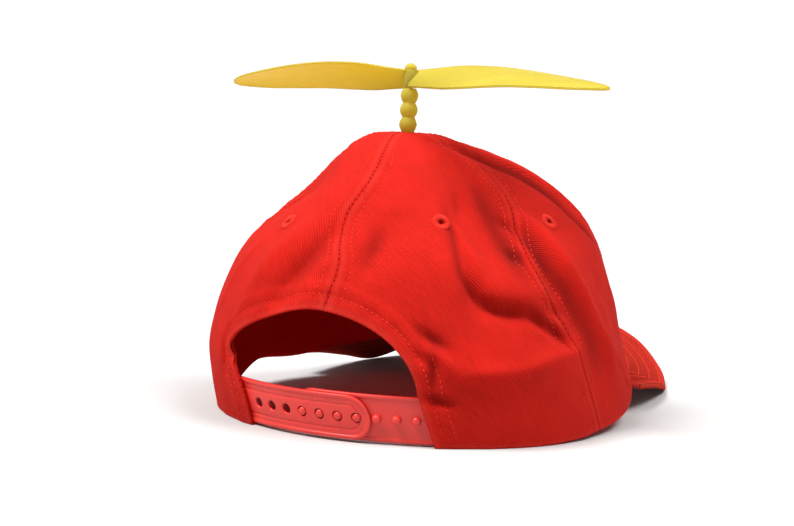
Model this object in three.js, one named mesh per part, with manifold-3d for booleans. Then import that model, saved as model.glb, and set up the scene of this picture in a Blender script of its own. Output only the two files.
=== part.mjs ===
// A soft six-panel cap with a peak, a snap strap across the back opening and a propeller on a beaded stalk.
// Millimetres, +Z up, +Y to the front of the cap and +X to the wearer's right. The cap stands on z = 0.
// An azimuth goes round the crown from the middle of the back, positive to the wearer's right.

import * as THREE from 'three';
import { mergeVertices } from 'three/addons/utils/BufferGeometryUtils.js';
import Module from 'manifold-3d';

const wasm = await Module();
wasm.setup();

const rad = THREE.MathUtils.degToRad;
const lerp = THREE.MathUtils.lerp;
const rows = (columns, values) =>
  values.map((row) => Object.fromEntries(columns.map((name, i) => [name, row[i]])));

// Crown
const CLOTH = 1.5; // wall of a panel
const GAP = 0.3; // clearance between neighbouring pieces
const CROWN_TOP = 125.3;
const CROWN_CLOTH_LENGTH = 160; // along a panel from rim to top
const FLAT_RIM = 50; // half-angle of the rim that lies level across the back
const RIM_LIFT = 22; // rise of the rim at the middle of the front
const SEAM_SINK = 1.2; // how far a seam pulls the cloth in
const SEAM_SINK_WIDTH = 8;
const PANEL_COLUMNS = 10;
const PANEL_ROWS = 13;

// Level sections from the rim to the stalk's hole: the shift of the centre, then the reach from the centre
// at azimuths 0, 45, 90, 135 and 180 degrees.
const REACHES = ['back', 'backSide', 'side', 'frontSide', 'front'];
const SECTIONS = rows(['height', 'shiftRight', 'shiftFront', ...REACHES], [
  [0, 1, 0, 97, 96, 93, 95, 98],
  [14, -1, -1, 99, 97, 93, 95, 99],
  [32, -3, -2, 100, 96.5, 91, 94, 99],
  [52, -3, -4, 97, 91, 87, 91, 97],
  [72, -2, -7, 87, 81, 79, 86, 93],
  [90, -1.5, -10, 70, 62, 63, 75, 83],
  [105, -2, -13, 53, 45, 47, 57, 68],
  [116, -4, -16, 36, 31, 32, 38, 48],
  [122.5, -5, -18, 22, 20, 21, 22, 28],
  [125, -5.5, -18, 13, 13, 13, 13, 13],
  [CROWN_TOP, -5.5, -18, 3, 3, 3, 3, 3],
]);

// Azimuth of each seam at four places from the rim to the top.
const SEAMS = {
  back: [0, 1, -1, 2],
  sideRight: [76, 65, 68, 62],
  frontRight: [124, 122, 121, 121],
  front: [180, 180, 180, 180],
  frontLeft: [236, 238, 239, 239],
  sideLeft: [286, 294, 295, 298],
};

// Soft folds: a long dent or ridge, heading 0 to the wearer's right and 90 up, depth positive outwards.
const FOLDS = rows(['azimuth', 'height', 'heading', 'length', 'width', 'depth'], [
  [38, 64, -62, 11, 5, -4], // upper end of the crease in the right back panel
  [50, 55, -14, 17, 5, -4.5], // lower run of that crease
  [49, 68, -10, 17, 7, 3.5], // swell above it
  [45, 90, 85, 24, 9, -3.5], // slack fold under the right side seam
  [46, 33, 0, 38, 9, 3.5], // wide swell above the right rim
  [26, 46, -40, 8, 4, -2], // dimple beside the opening
  [-10, 71, 65, 24, 8, -3.5], // valley down the left back panel
  [-26, 71, 62, 24, 9, 3], // ridge beside it
  [88, 112, -35, 20, 7, -3.5], // valley between side and front at the top
  [86, 42, -66, 32, 8, 2.5], // ridge down the right side
  [-88, 70, 80, 26, 10, -3], // slack on the left side
  [150, 92, 60, 22, 10, -3], // slack on the right front
  [-148, 84, 100, 24, 11, -3], // slack on the left front
]);

// Back opening: an arch on two jambs, as azimuths and heights
const ARCH = { centre: -3.2, halfAngle: 26, spring: 22, crest: 53.5, leftFoot: -26, rightFoot: 25.5 };
const ARCH_SHARE = 0.42; // shares of a back panel's lower edge along the arch and down to the jamb's foot
const JAMB_SHARE = 0.58;
const BACK_COLUMNS = 22;

// Eyelets
const EYELET_RADIUS = 3.8;
const EYELET_BORE = 1.5;
const EYELET_THICKNESS = 2.4;
const EYELET_SIDES = 12;
const EYELETS = rows(['name', 'azimuth', 'height'], [
  ['eyelet_back_right', 30.5, 92],
  ['eyelet_side_right', 92, 88],
  ['eyelet_front_right', 150, 86],
  ['eyelet_front_left', 210, 86],
  ['eyelet_side_left', 268, 88],
  ['eyelet_back_left', 329, 85],
]);

// Sweatband
const BAND_THICKNESS = 1.2;
const BAND_DEPTH = CLOTH + SEAM_SINK + 2 * GAP; // outer face behind the crown's outer face
const BAND_BOTTOM = 1.2;
const BAND_TOP = 30;
const BAND_START = 47;
const BAND_END = 313;
const BAND_COLUMNS = 36;
const BAND_ROWS = 3;

// Peak: half of its outer edge, from the middle of the front to the joint with the rim
const PEAK_THICKNESS = 2.6;
const PEAK_CENTRE = 1;
const PEAK_HALF_ANGLE = 62;
const PEAK_COLUMNS = 28;
const PEAK_ROWS = 5;
const PEAK_EDGE = rows(['right', 'front', 'height'], [
  [0, 172, 29],
  [28, 169.5, 26],
  [53, 161, 17.5],
  [71.5, 142, 6.5],
  [80.5, 117, 1.35],
  [85.5, 92, 5.5],
  [88, 68, 9.5],
  [88, 47, 11.8],
]);

// Snap strap
const STRAP_THICKNESS = 1.2;
const STRAP_MIDDLE = 10.8; // height of the holes and studs
const STRAP_HALF_HEIGHT = { holed: 8.75, studded: 9.25 };
const STRAP_DEPTH = { holed: 1.9, studded: 3.6 }; // outer face behind the crown's outer face
const STRAP_HIDDEN_END = 42;
const STRAP_ROUND_END = { holed: 10.7, studded: -9.8 };
const STRAP_COLUMNS = 16;
const STRAP_ROWS = 6;
const STUD_PITCH = 4.9;
const STUD_COUNT = 7;
const FIRST_HOLE = -22.2;
const FIRST_STUD = -7.5;
const HOLE_RADIUS = 2.1;
const STUD_RADIUS = 1.7;
const STUD_LENGTH = 2.2;
const STUD_SIDES = 10;

// Stalk, measured up its own axis from the crown's top
const STALK_LEAN = 2; // degrees to the front
const SHANK_RADIUS = 2.5;
const FLANGE_RADIUS = 7;
const FLANGE_TOP = -2.4;
const FLANGE_THICKNESS = 1.4;
const BEAD_COUNT = 3;
const BEAD_PITCH = 6.4;
const BEAD_RADIUS = 3.95;
const NECK_RADIUS = 3.4;
const AXLE_RADIUS = 1.3;
const PIN_HEAD_RADIUS = 2.3;
const PIN_HEAD_HEIGHT = 2.8;
const ROUND_SIDES = 16;

// Propeller: blade sections along its radius
const HUB_RADIUS = 2.9;
const HUB_HEIGHT = 8;
const HUB_BORE = 1.65;
const PROPELLER_HEADING = -8;
const PROPELLER_TILT = 0.9; // degrees to the wearer's left, loose on its pin
const BLADE_THICKNESS = 1.6;
const BLADE_CAMBER = 0.06; // of the chord
const BLADE_SPAN_STEPS = 12;
const BLADE_CHORD_STEPS = 6;
const BLADE = rows(['radius', 'chord', 'pitch', 'rise'], [
  [1, 5.5, 52, 0],
  [9, 12, 47, 0.2],
  [16, 15, 42, 0.5],
  [28, 22, 30, 0.9],
  [42, 28, 21, 0.9],
  [56, 31, 15, 0.3],
  [70, 31, 11, -0.9],
  [84, 25, 9, -2.2],
  [93, 14, 8, -3],
  [97, 4, 8, -3.4],
]);

const RED_TWILL = { color: 0xcd2d25, roughness: 0.9, metalness: 0 };
const RED_THREAD = { color: 0xb8231d, roughness: 0.75, metalness: 0 };
const RED_PLASTIC = { color: 0xdc4b41, roughness: 0.4, metalness: 0 };
const YELLOW_PLASTIC = { color: 0xe3c12e, roughness: 0.3, metalness: 0 };

// Catmull-Rom value through evenly spaced numbers, at a place counted in steps.
function spline(values, place) {
  const last = values.length - 1;
  const i = Math.min(Math.floor(place), last - 1);
  const f = place - i;
  const here = values[i];
  const next = values[i + 1];
  const before = i > 0 ? values[i - 1] : 2 * here - next;
  const after = i + 2 <= last ? values[i + 2] : 2 * next - here;
  const bend = 2 * before - 5 * here + 4 * next - after;
  const twist = 3 * (here - next) + after - before;
  return here + 0.5 * f * (next - before + f * (bend + f * twist));
}

const columnAt = (table, name, t) => spline(table.map((row) => row[name]), t * (table.length - 1));

// Even cosine series through values spaced from 0 to 180 degrees, so that a section closes smoothly.
function roundSection(values, azimuth) {
  const steps = values.length - 1;
  const share = (k) => (k === 0 || k === steps ? 0.5 : 1);
  let sum = 0;
  for (let m = 0; m <= steps; m++) {
    let wave = 0;
    values.forEach((value, k) => {
      wave += share(k) * value * Math.cos((m * k * Math.PI) / steps);
    });
    sum += (2 / steps) * share(m) * wave * Math.cos(m * azimuth);
  }
  return sum;
}

// Fraction of the way from rim to top at which a section has the given height.
function placeOf(height) {
  let low = 0;
  let high = 1;
  for (let i = 0; i < 40; i++) {
    const middle = (low + high) / 2;
    if (columnAt(SECTIONS, 'height', middle) < height) low = middle;
    else high = middle;
  }
  return height > 0 ? high : 0;
}

const fromBack = (azimuth) => Math.atan2(Math.sin(azimuth), Math.cos(azimuth));

function rimLift(azimuth) {
  const s = Math.max(0, (Math.abs(fromBack(azimuth)) - rad(FLAT_RIM)) / (Math.PI - rad(FLAT_RIM)));
  return RIM_LIFT * s * s * (3 - 2 * s);
}

const seamAzimuth = (name, t) => rad(spline(SEAMS[name], 3 * t));
const sectionRadius = (t) => columnAt(SECTIONS, 'side', t);

// The crown's outer face without folds.
function smoothCrown(azimuth, t) {
  const reach = roundSection(REACHES.map((name) => columnAt(SECTIONS, name, t)), azimuth);
  const height = columnAt(SECTIONS, 'height', t);
  return new THREE.Vector3(
    columnAt(SECTIONS, 'shiftRight', t) + reach * Math.sin(azimuth),
    columnAt(SECTIONS, 'shiftFront', t) - reach * Math.cos(azimuth),
    height + rimLift(azimuth) * (1 - height / CROWN_TOP),
  );
}

function crownNormal(azimuth, t) {
  const step = 1e-3;
  const across = smoothCrown(azimuth + step, t).sub(smoothCrown(azimuth - step, t));
  const up = smoothCrown(azimuth, Math.min(t + step, 1)).sub(smoothCrown(azimuth, Math.max(t - step, 0)));
  return across.cross(up).normalize();
}

const FOLD_PLACES = FOLDS.map((fold) => placeOf(fold.height));

// How far folds and seams move the cloth outwards.
function relief(azimuth, t) {
  const radius = sectionRadius(t);
  let out = 0;
  FOLDS.forEach((fold, i) => {
    const right = radius * fromBack(azimuth - rad(fold.azimuth));
    const up = CROWN_CLOTH_LENGTH * (t - FOLD_PLACES[i]);
    const turn = rad(fold.heading);
    const along = (right * Math.cos(turn) + up * Math.sin(turn)) / fold.length;
    const across = (up * Math.cos(turn) - right * Math.sin(turn)) / fold.width;
    out += fold.depth * Math.exp(-along * along - across * across);
  });
  for (const name of Object.keys(SEAMS)) {
    const off = (radius * fromBack(azimuth - seamAzimuth(name, t))) / SEAM_SINK_WIDTH;
    out -= SEAM_SINK * (1 - t) * Math.exp(-off * off);
  }
  return out;
}

// A point inside the cloth, at a depth behind the outer face. The rim's lower edge stays level.
function crownPoint(azimuth, t, depth) {
  const point = smoothCrown(azimuth, t);
  const level = point.z;
  point.addScaledVector(crownNormal(azimuth, t), relief(azimuth, t) - depth);
  if (t === 0) point.z = level;
  return point;
}

// A closed wall sampled on a grid: at(u, v, face) gives a point of the outer face (0) or the inner one (1).
function wall(columns, rowCount, at) {
  const positions = [];
  const triangles = [];
  const index = (face, i, j) => (face * (columns + 1) + i) * (rowCount + 1) + j;
  const quad = (a, b, c, d) => triangles.push(a, b, c, a, c, d);
  for (const face of [0, 1]) {
    for (let i = 0; i <= columns; i++) {
      for (let j = 0; j <= rowCount; j++) positions.push(...at(i / columns, j / rowCount, face).toArray());
    }
  }
  for (let i = 0; i < columns; i++) {
    for (let j = 0; j < rowCount; j++) {
      quad(index(0, i, j), index(0, i + 1, j), index(0, i + 1, j + 1), index(0, i, j + 1));
      quad(index(1, i, j), index(1, i, j + 1), index(1, i + 1, j + 1), index(1, i + 1, j));
    }
    quad(index(0, i, 0), index(1, i, 0), index(1, i + 1, 0), index(0, i + 1, 0));
    quad(index(0, i, rowCount), index(0, i + 1, rowCount), index(1, i + 1, rowCount), index(1, i, rowCount));
  }
  for (let j = 0; j < rowCount; j++) {
    quad(index(0, 0, j), index(0, 0, j + 1), index(1, 0, j + 1), index(1, 0, j));
    quad(index(0, columns, j), index(1, columns, j), index(1, columns, j + 1), index(0, columns, j + 1));
  }
  const geometry = new THREE.BufferGeometry();
  geometry.setAttribute('position', new THREE.Float32BufferAttribute(positions, 3));
  geometry.setIndex(triangles);
  return geometry;
}

function solidOf(geometry) {
  const bare = geometry.clone();
  bare.deleteAttribute('normal');
  bare.deleteAttribute('uv');
  const merged = mergeVertices(bare);
  return new wasm.Manifold(new wasm.Mesh({
    numProp: 3,
    vertProperties: Float32Array.from(merged.attributes.position.array),
    triVerts: Uint32Array.from(merged.index.array),
  }));
}

function geometryOf(solid) {
  const mesh = solid.getMesh();
  const geometry = new THREE.BufferGeometry();
  geometry.setAttribute('position', new THREE.BufferAttribute(mesh.vertProperties, 3));
  geometry.setIndex(new THREE.BufferAttribute(mesh.triVerts, 1));
  return geometry;
}

const CYLINDER_AXIS = new THREE.Vector3(0, 1, 0); // of three.js cylinders and lathes

// A round pin from one point to another.
function pin(from, to, radius, sides) {
  const along = to.clone().sub(from);
  const geometry = new THREE.CylinderGeometry(radius, radius, along.length(), sides);
  geometry.applyQuaternion(new THREE.Quaternion().setFromUnitVectors(CYLINDER_AXIS, along.normalize()));
  return geometry.translate(...from.clone().add(to).multiplyScalar(0.5).toArray());
}

function piece(name, geometry, finish) {
  const mesh = new THREE.Mesh(geometry, new THREE.MeshStandardMaterial(finish));
  mesh.name = name;
  return mesh;
}

const eyeletPlace = (eyelet) => [rad(eyelet.azimuth), placeOf(eyelet.height)];

function cutEyelet(geometry, eyelet) {
  const [azimuth, t] = eyeletPlace(eyelet);
  const reach = 4 * CLOTH;
  const inside = crownPoint(azimuth, t, reach);
  const outside = crownPoint(azimuth, t, -reach);
  const bore = pin(inside, outside, EYELET_RADIUS + GAP, EYELET_SIDES);
  return geometryOf(solidOf(geometry).subtract(solidOf(bore)));
}

const seamClearance = (t) => GAP / 2 / sectionRadius(t);

// A side or front panel, from one seam round to the next.
function sidePanel(firstSeam, lastSeam) {
  return wall(PANEL_COLUMNS, PANEL_ROWS, (u, t, face) => {
    const azimuth = lerp(seamAzimuth(firstSeam, t), seamAzimuth(lastSeam, t), u);
    return crownPoint(azimuth + seamClearance(t) * (1 - 2 * u), t, face * CLOTH);
  });
}

// Lower edge of a back panel: from the back seam over the arch, down the jamb and along the rim.
function backLowerEdge(side, sideSeam, q) {
  const crestSeam = seamAzimuth('back', placeOf(ARCH.crest));
  const half = rad(ARCH.halfAngle);
  const foot = rad(side > 0 ? ARCH.rightFoot : ARCH.leftFoot);
  if (q < ARCH_SHARE) {
    const first = Math.asin((crestSeam - rad(ARCH.centre)) / half);
    const turn = lerp(first, (side * Math.PI) / 2, q / ARCH_SHARE);
    const height = ARCH.spring + (ARCH.crest - ARCH.spring) * Math.cos(turn);
    return { azimuth: rad(ARCH.centre) + half * Math.sin(turn), t: placeOf(height) };
  }
  if (q < JAMB_SHARE) {
    const f = (q - ARCH_SHARE) / (JAMB_SHARE - ARCH_SHARE);
    return { azimuth: lerp(rad(ARCH.centre) + side * half, foot, f), t: placeOf(ARCH.spring * (1 - f)) };
  }
  return { azimuth: lerp(foot, sideSeam(0), (q - JAMB_SHARE) / (1 - JAMB_SHARE)), t: 0 };
}

// A back panel, stretched between its lower edge, the two seams and the top.
function backPanel(side, sideSeamAt) {
  const backSeamAt = (t) => seamAzimuth('back', t);
  const seamPull = (end, seamAt, v) => {
    const low = backLowerEdge(side, sideSeamAt, end);
    return seamAt(lerp(low.t, 1, v)) - lerp(low.azimuth, seamAt(1), v);
  };
  return wall(BACK_COLUMNS, PANEL_ROWS, (u, v, face) => {
    const q = side > 0 ? u : 1 - u;
    const low = backLowerEdge(side, sideSeamAt, q);
    const t = lerp(low.t, 1, v);
    const straight = lerp(low.azimuth, lerp(backSeamAt(1), sideSeamAt(1), q), v);
    const pulled = (1 - q) * seamPull(0, backSeamAt, v) + q * seamPull(1, sideSeamAt, v);
    return crownPoint(straight + pulled + seamClearance(t) * (1 - 2 * u), t, face * CLOTH);
  });
}

const leftSideSeam = (t) => seamAzimuth('sideLeft', t) - 2 * Math.PI;
const PANELS = {
  back_right: backPanel(1, (t) => seamAzimuth('sideRight', t)),
  side_right: sidePanel('sideRight', 'frontRight'),
  front_right: sidePanel('frontRight', 'front'),
  front_left: sidePanel('front', 'frontLeft'),
  side_left: sidePanel('frontLeft', 'sideLeft'),
  back_left: backPanel(-1, leftSideSeam),
};

// A ring bound with thread that fills the hole in its panel.
function eyeletRing(eyelet) {
  const [azimuth, t] = eyeletPlace(eyelet);
  const half = EYELET_THICKNESS / 2;
  const round = 0.5;
  const profile = [
    [EYELET_BORE, -half + round],
    [EYELET_BORE + round, -half],
    [EYELET_RADIUS - round, -half],
    [EYELET_RADIUS, -half + round],
    [EYELET_RADIUS, half - round],
    [EYELET_RADIUS - round, half],
    [EYELET_BORE + round, half],
    [EYELET_BORE, half - round],
    [EYELET_BORE, -half + round],
  ].map(([r, y]) => new THREE.Vector2(r, y));
  const ring = new THREE.LatheGeometry(profile, EYELET_SIDES);
  const out = crownPoint(azimuth, t, 0).sub(crownPoint(azimuth, t, CLOTH)).normalize();
  ring.applyQuaternion(new THREE.Quaternion().setFromUnitVectors(CYLINDER_AXIS, out));
  return ring.translate(...crownPoint(azimuth, t, CLOTH / 2).toArray());
}

// A point behind the outer face of the crown as it would be without folds and seams.
function unfoldedPoint(azimuth, height, depth) {
  const t = placeOf(height);
  return smoothCrown(azimuth, t).addScaledVector(crownNormal(azimuth, t), -depth);
}

function sweatband() {
  return wall(BAND_COLUMNS, BAND_ROWS, (u, v, face) => {
    const azimuth = lerp(rad(BAND_START), rad(BAND_END), u);
    return unfoldedPoint(azimuth, lerp(BAND_BOTTOM, BAND_TOP, v), BAND_DEPTH + face * BAND_THICKNESS);
  });
}

// The peak is ruled from the rim's front to its outer edge, and its thickness is measured upright.
function peak() {
  const half = PEAK_THICKNESS / 2;
  const mirrored = PEAK_EDGE.slice(1).map((row) => ({ ...row, right: -row.right }));
  const edge = [...PEAK_EDGE.slice().reverse(), ...mirrored];
  const seat = placeOf(PEAK_THICKNESS);
  return wall(PEAK_COLUMNS, PEAK_ROWS, (u, v, face) => {
    const azimuth = Math.PI + rad(lerp(-PEAK_HALF_ANGLE, PEAK_HALF_ANGLE, u));
    const inner = smoothCrown(azimuth, seat);
    inner.addScaledVector(new THREE.Vector3(Math.sin(azimuth), -Math.cos(azimuth), 0), 2 * GAP);
    inner.z = rimLift(azimuth) + half + GAP;
    const outer = new THREE.Vector3(
      PEAK_CENTRE + columnAt(edge, 'right', u),
      columnAt(edge, 'front', u),
      columnAt(edge, 'height', u),
    );
    return inner.lerp(outer, 1 - v).add(new THREE.Vector3(0, 0, half - face * PEAK_THICKNESS));
  });
}

// One half of the strap, from its end sewn inside the jamb to its round free end.
function strap(kind, hiddenEnd) {
  const half = STRAP_HALF_HEIGHT[kind];
  return wall(STRAP_COLUMNS, STRAP_ROWS, (u, v, face) => {
    const turn = lerp(-Math.PI / 2, Math.PI / 2, v);
    const rise = half * Math.sin(turn);
    const back = half * (1 - Math.cos(turn));
    const side = Math.sign(hiddenEnd);
    const freeEnd = rad(STRAP_ROUND_END[kind]) + (side * back) / sectionRadius(0);
    const [first, last] = side < 0 ? [rad(hiddenEnd), freeEnd] : [freeEnd, rad(hiddenEnd)];
    const depth = STRAP_DEPTH[kind] + face * STRAP_THICKNESS;
    return unfoldedPoint(lerp(first, last, u), STRAP_MIDDLE + rise, depth);
  });
}

const alongStrap = (first) => Array.from({ length: STUD_COUNT }, (_, i) => rad(first + i * STUD_PITCH));

function holedStrap() {
  const through = 3;
  return geometryOf(alongStrap(FIRST_HOLE).reduce((solid, azimuth) => {
    const from = unfoldedPoint(azimuth, STRAP_MIDDLE, STRAP_DEPTH.holed + through);
    const to = unfoldedPoint(azimuth, STRAP_MIDDLE, STRAP_DEPTH.holed - through);
    return solid.subtract(solidOf(pin(from, to, HOLE_RADIUS, STUD_SIDES)));
  }, solidOf(strap('holed', -STRAP_HIDDEN_END))));
}

function studdedStrap() {
  const root = STRAP_DEPTH.studded + STRAP_THICKNESS / 2;
  return geometryOf(alongStrap(FIRST_STUD).reduce((solid, azimuth) => {
    const from = unfoldedPoint(azimuth, STRAP_MIDDLE, root);
    const to = unfoldedPoint(azimuth, STRAP_MIDDLE, STRAP_DEPTH.studded - STUD_LENGTH);
    return solid.add(solidOf(pin(from, to, STUD_RADIUS, STUD_SIDES)));
  }, solidOf(strap('studded', STRAP_HIDDEN_END))));
}

const HUB_BASE = GAP + BEAD_COUNT * BEAD_PITCH + GAP;

// Flange under the cloth, shank through it, a row of beads, and the pin that the propeller turns on.
function stalk() {
  const profile = [
    [0, FLANGE_TOP - FLANGE_THICKNESS],
    [FLANGE_RADIUS, FLANGE_TOP - FLANGE_THICKNESS],
    [FLANGE_RADIUS, FLANGE_TOP],
    [SHANK_RADIUS, FLANGE_TOP],
    [SHANK_RADIUS, GAP],
  ];
  const beadSteps = [-0.98, -0.7, 0, 0.7, 0.98];
  for (let bead = 0; bead < BEAD_COUNT; bead++) {
    const middle = GAP + (bead + 0.5) * BEAD_PITCH;
    for (const s of beadSteps) {
      const bulge = (BEAD_RADIUS - NECK_RADIUS) * Math.sqrt(1 - s * s);
      profile.push([NECK_RADIUS + bulge, middle + (s * BEAD_PITCH) / 2]);
    }
  }
  const beadTop = HUB_BASE - GAP;
  const headBase = HUB_BASE + HUB_HEIGHT + GAP;
  profile.push([AXLE_RADIUS, beadTop], [AXLE_RADIUS, headBase]);
  for (const angle of [0, 30, 60]) {
    profile.push([PIN_HEAD_RADIUS * Math.cos(rad(angle)), headBase + PIN_HEAD_HEIGHT * Math.sin(rad(angle))]);
  }
  profile.push([0, headBase + PIN_HEAD_HEIGHT]);
  const points = profile.map(([r, z]) => new THREE.Vector2(r, z));
  return new THREE.LatheGeometry(points, ROUND_SIDES).rotateX(Math.PI / 2);
}

// A cambered, twisted blade along +X. Its edge towards -Y is the low one.
function blade() {
  return wall(BLADE_SPAN_STEPS, BLADE_CHORD_STEPS, (u, v, face) => {
    const across = lerp(-1, 1, v);
    const chord = columnAt(BLADE, 'chord', u);
    const pitch = rad(columnAt(BLADE, 'pitch', u));
    const thickness = BLADE_THICKNESS * (1 - 0.5 * across * across);
    const bow = BLADE_CAMBER * chord * (1 - across * across) + thickness * (0.5 - face);
    const reach = (across * chord) / 2;
    return new THREE.Vector3(
      columnAt(BLADE, 'radius', u),
      reach * Math.cos(pitch) - bow * Math.sin(pitch),
      columnAt(BLADE, 'rise', u) + reach * Math.sin(pitch) + bow * Math.cos(pitch),
    );
  });
}

function propeller() {
  const half = HUB_HEIGHT / 2;
  const round = 0.6;
  const profile = [
    [0, -half],
    [HUB_RADIUS, -half],
    [HUB_RADIUS, half - round],
    [HUB_RADIUS - round, half],
    [0, half],
  ].map(([r, z]) => new THREE.Vector2(r, z));
  const hub = new THREE.LatheGeometry(profile, ROUND_SIDES).rotateX(Math.PI / 2);
  const above = new THREE.Vector3(0, 0, HUB_HEIGHT);
  const bore = pin(above.clone().negate(), above, HUB_BORE, ROUND_SIDES);
  const blades = solidOf(blade()).add(solidOf(blade().rotateZ(Math.PI)));
  return geometryOf(solidOf(hub).add(blades).subtract(solidOf(bore)));
}

const crown = new THREE.Group();
for (const [place, geometry] of Object.entries(PANELS)) {
  const eyelet = EYELETS.find((row) => row.name === `eyelet_${place}`);
  crown.add(piece(`panel_${place}`, cutEyelet(geometry, eyelet), RED_TWILL));
  crown.add(piece(eyelet.name, eyeletRing(eyelet), RED_THREAD));
}
crown.add(piece('peak', peak(), RED_TWILL));
crown.add(piece('sweatband', sweatband(), RED_TWILL));
crown.add(piece('strap_holed', holedStrap(), RED_PLASTIC));
crown.add(piece('strap_studded', studdedStrap(), RED_PLASTIC));

const spinner = piece('propeller', propeller(), YELLOW_PLASTIC);
spinner.position.z = HUB_BASE + HUB_HEIGHT / 2;
spinner.rotation.set(0, -rad(PROPELLER_TILT), rad(PROPELLER_HEADING));

const topping = new THREE.Group();
const summit = SECTIONS[SECTIONS.length - 1];
topping.add(piece('stalk', stalk(), YELLOW_PLASTIC), spinner);
topping.position.set(summit.shiftRight, summit.shiftFront, CROWN_TOP);
topping.rotation.x = -rad(STALK_LEAN);

const cap = new THREE.Group();
cap.add(crown, topping);

// The origin is under the middle of the cap's box, on the surface that it stands on.
const box = new THREE.Box3().setFromObject(cap, true);
const middle = box.getCenter(new THREE.Vector3());
cap.position.set(-middle.x, -middle.y, -box.min.z);

export default cap;
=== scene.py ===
"""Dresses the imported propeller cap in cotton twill, sewing thread and moulded plastic.

Tables and sizes are in millimetres in the cap's own axes: +Y to the front, +X to the wearer's right, the
rim on z = 0. Azimuths go round the crown from the middle of the back. A place on the crown, t, goes from 0
at the rim to 1 at the top. Objects are in metres, in the frame.
"""

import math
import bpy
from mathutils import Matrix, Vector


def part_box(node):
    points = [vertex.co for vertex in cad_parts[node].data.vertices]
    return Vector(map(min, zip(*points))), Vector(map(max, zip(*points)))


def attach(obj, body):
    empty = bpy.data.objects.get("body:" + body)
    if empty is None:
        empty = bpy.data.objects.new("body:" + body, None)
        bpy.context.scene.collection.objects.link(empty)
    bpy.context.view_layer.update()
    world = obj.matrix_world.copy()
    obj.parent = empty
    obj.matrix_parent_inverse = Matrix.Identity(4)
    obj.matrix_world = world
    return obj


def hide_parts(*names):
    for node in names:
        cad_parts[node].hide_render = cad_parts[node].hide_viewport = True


bl_info = {
    "name": "Propeller Cap",
    "version": (1, 0, 0),
    "blender": (4, 5, 0),
    "location": "3D View > Sidebar > Propeller Cap",
    "description": "Builds a twill cap with a snap strap and a propeller around its packed frame",
    "category": "Object",
}

import bpy
import numpy as np
from bpy.props import FloatProperty, FloatVectorProperty, IntProperty, PointerProperty
from mathutils import Matrix, Vector, noise

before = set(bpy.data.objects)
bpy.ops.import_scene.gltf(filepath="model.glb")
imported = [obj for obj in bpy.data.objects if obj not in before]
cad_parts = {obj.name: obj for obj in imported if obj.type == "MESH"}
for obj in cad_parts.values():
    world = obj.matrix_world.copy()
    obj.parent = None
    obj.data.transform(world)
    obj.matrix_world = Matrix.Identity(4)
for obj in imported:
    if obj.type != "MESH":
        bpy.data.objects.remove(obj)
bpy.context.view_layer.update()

MM = 0.001
# Share of the light on the cloth that passes through it
CLOTH_GLOW = 0.3
# Specular level of the loose cloth, beside none on the cloth glued to the peak's board
CLOTH_SHINE = 0.13

# Height of the crown's middle, and the length of cloth from the rim up to it
CROWN_TOP = 125.3
CLOTH_LENGTH = 160
# The rim lies level up to this azimuth and then rises by this much towards the front
FLAT_RIM = 50
RIM_LIFT = 22
# Azimuth, width and height of the place where the left side is rucked up off the floor
LEFT_RUCK = (-93, 14, 6)
# Width and depth of the valley that a seam pulls into the cloth
SEAM_SINK_WIDTH = 8
SEAM_SINK = 1.2
# Heights between which a seam other than the back one gapes and shows its thread
SEAM_GAPES = (43, 101)
# Places where stitching along a seam starts at the rim and ends near the top
STITCH_START = 0.012
STITCH_END = 0.94
# Heights above the back opening at which the back seam's topstitching and its own thread start
STITCH_ABOVE_ARCH = 8
THREAD_ABOVE_ARCH = 2
# Share of a stitch that shows in a seam
SEAM_STITCH_SHARE = 0.7
# Topstitch rows close in on their seam where the crown's radius falls below this
ROWS_CLOSE_IN = 40

# Columns and rows of points on a back panel, another panel, the peak and the sweatband
BACK_GRID = (170, 150)
SIDE_GRID = (100, 160)
PEAK_GRID = (260, 70)
BAND_GRID = (320, 24)
# How far the edges of a panel, the peak and the sweatband are rolled over: bottom, right, top, left
PANEL_ROLL = (0.6, 0, 0, 0)
PEAK_ROLL = (0.9, 0.5, 0, 0.5)
BAND_ROLL = (0.5, 0.4, 0.6, 0.4)

# Unevenness of the cloth, as the size of its waves, their height and the seed of their noise
SLACK = ((26, 0.7, 7.7), (11, 0.35, 1.9))
SEAM_PUCKERS = (5.5, 0.4, 3.1)
HEM_PUCKERS = (4.5, 0.45, 5.3)
FADING = (6, 0.5, 9.2)
BAND_SAG = (18, 0.5, 4.4)
# Distance from their stitches at which puckers die away, and from a seam at which the cloth is slack
PUCKER_REACH = 4
SLACK_REACH = 9
# Width and depth of the line along a seam and of the grooves that stitches pull
SEAM_LINE = (0.5, 0.4)
SEAM_GROOVE = (0.9, 0.4)
HEM_GROOVE = (0.9, 0.45)
PEAK_GROOVE = (0.9, 0.35)
# Cloth folded in beside a seam and at the hem: the width of its step and how far it lifts the outside
SEAM_LAP = (1.2, 0.25)
HEM_LAP = (1.5, 0.5)
# The seam's folded cloth reaches this far past its stitches
LAP_PAST_STITCH = 1.6
# Widths of the strips that rub pale along the hem, the rim and the peak's edge
HEM_RUB = 2
RIM_RUB = 1.6
PEAK_RUB = 2.5
# Strip that rubs pale beside a seam: its distance, its width and how pale it gets
SEAM_RUB_PLACE = 1.8
SEAM_RUB = (1, 0.6)
# Paleness of a rubbed place before its fading varies, and of the peak's outer edge
RUB_SHARE = 0.75
PEAK_EDGE_PALE = 0.8

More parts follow.
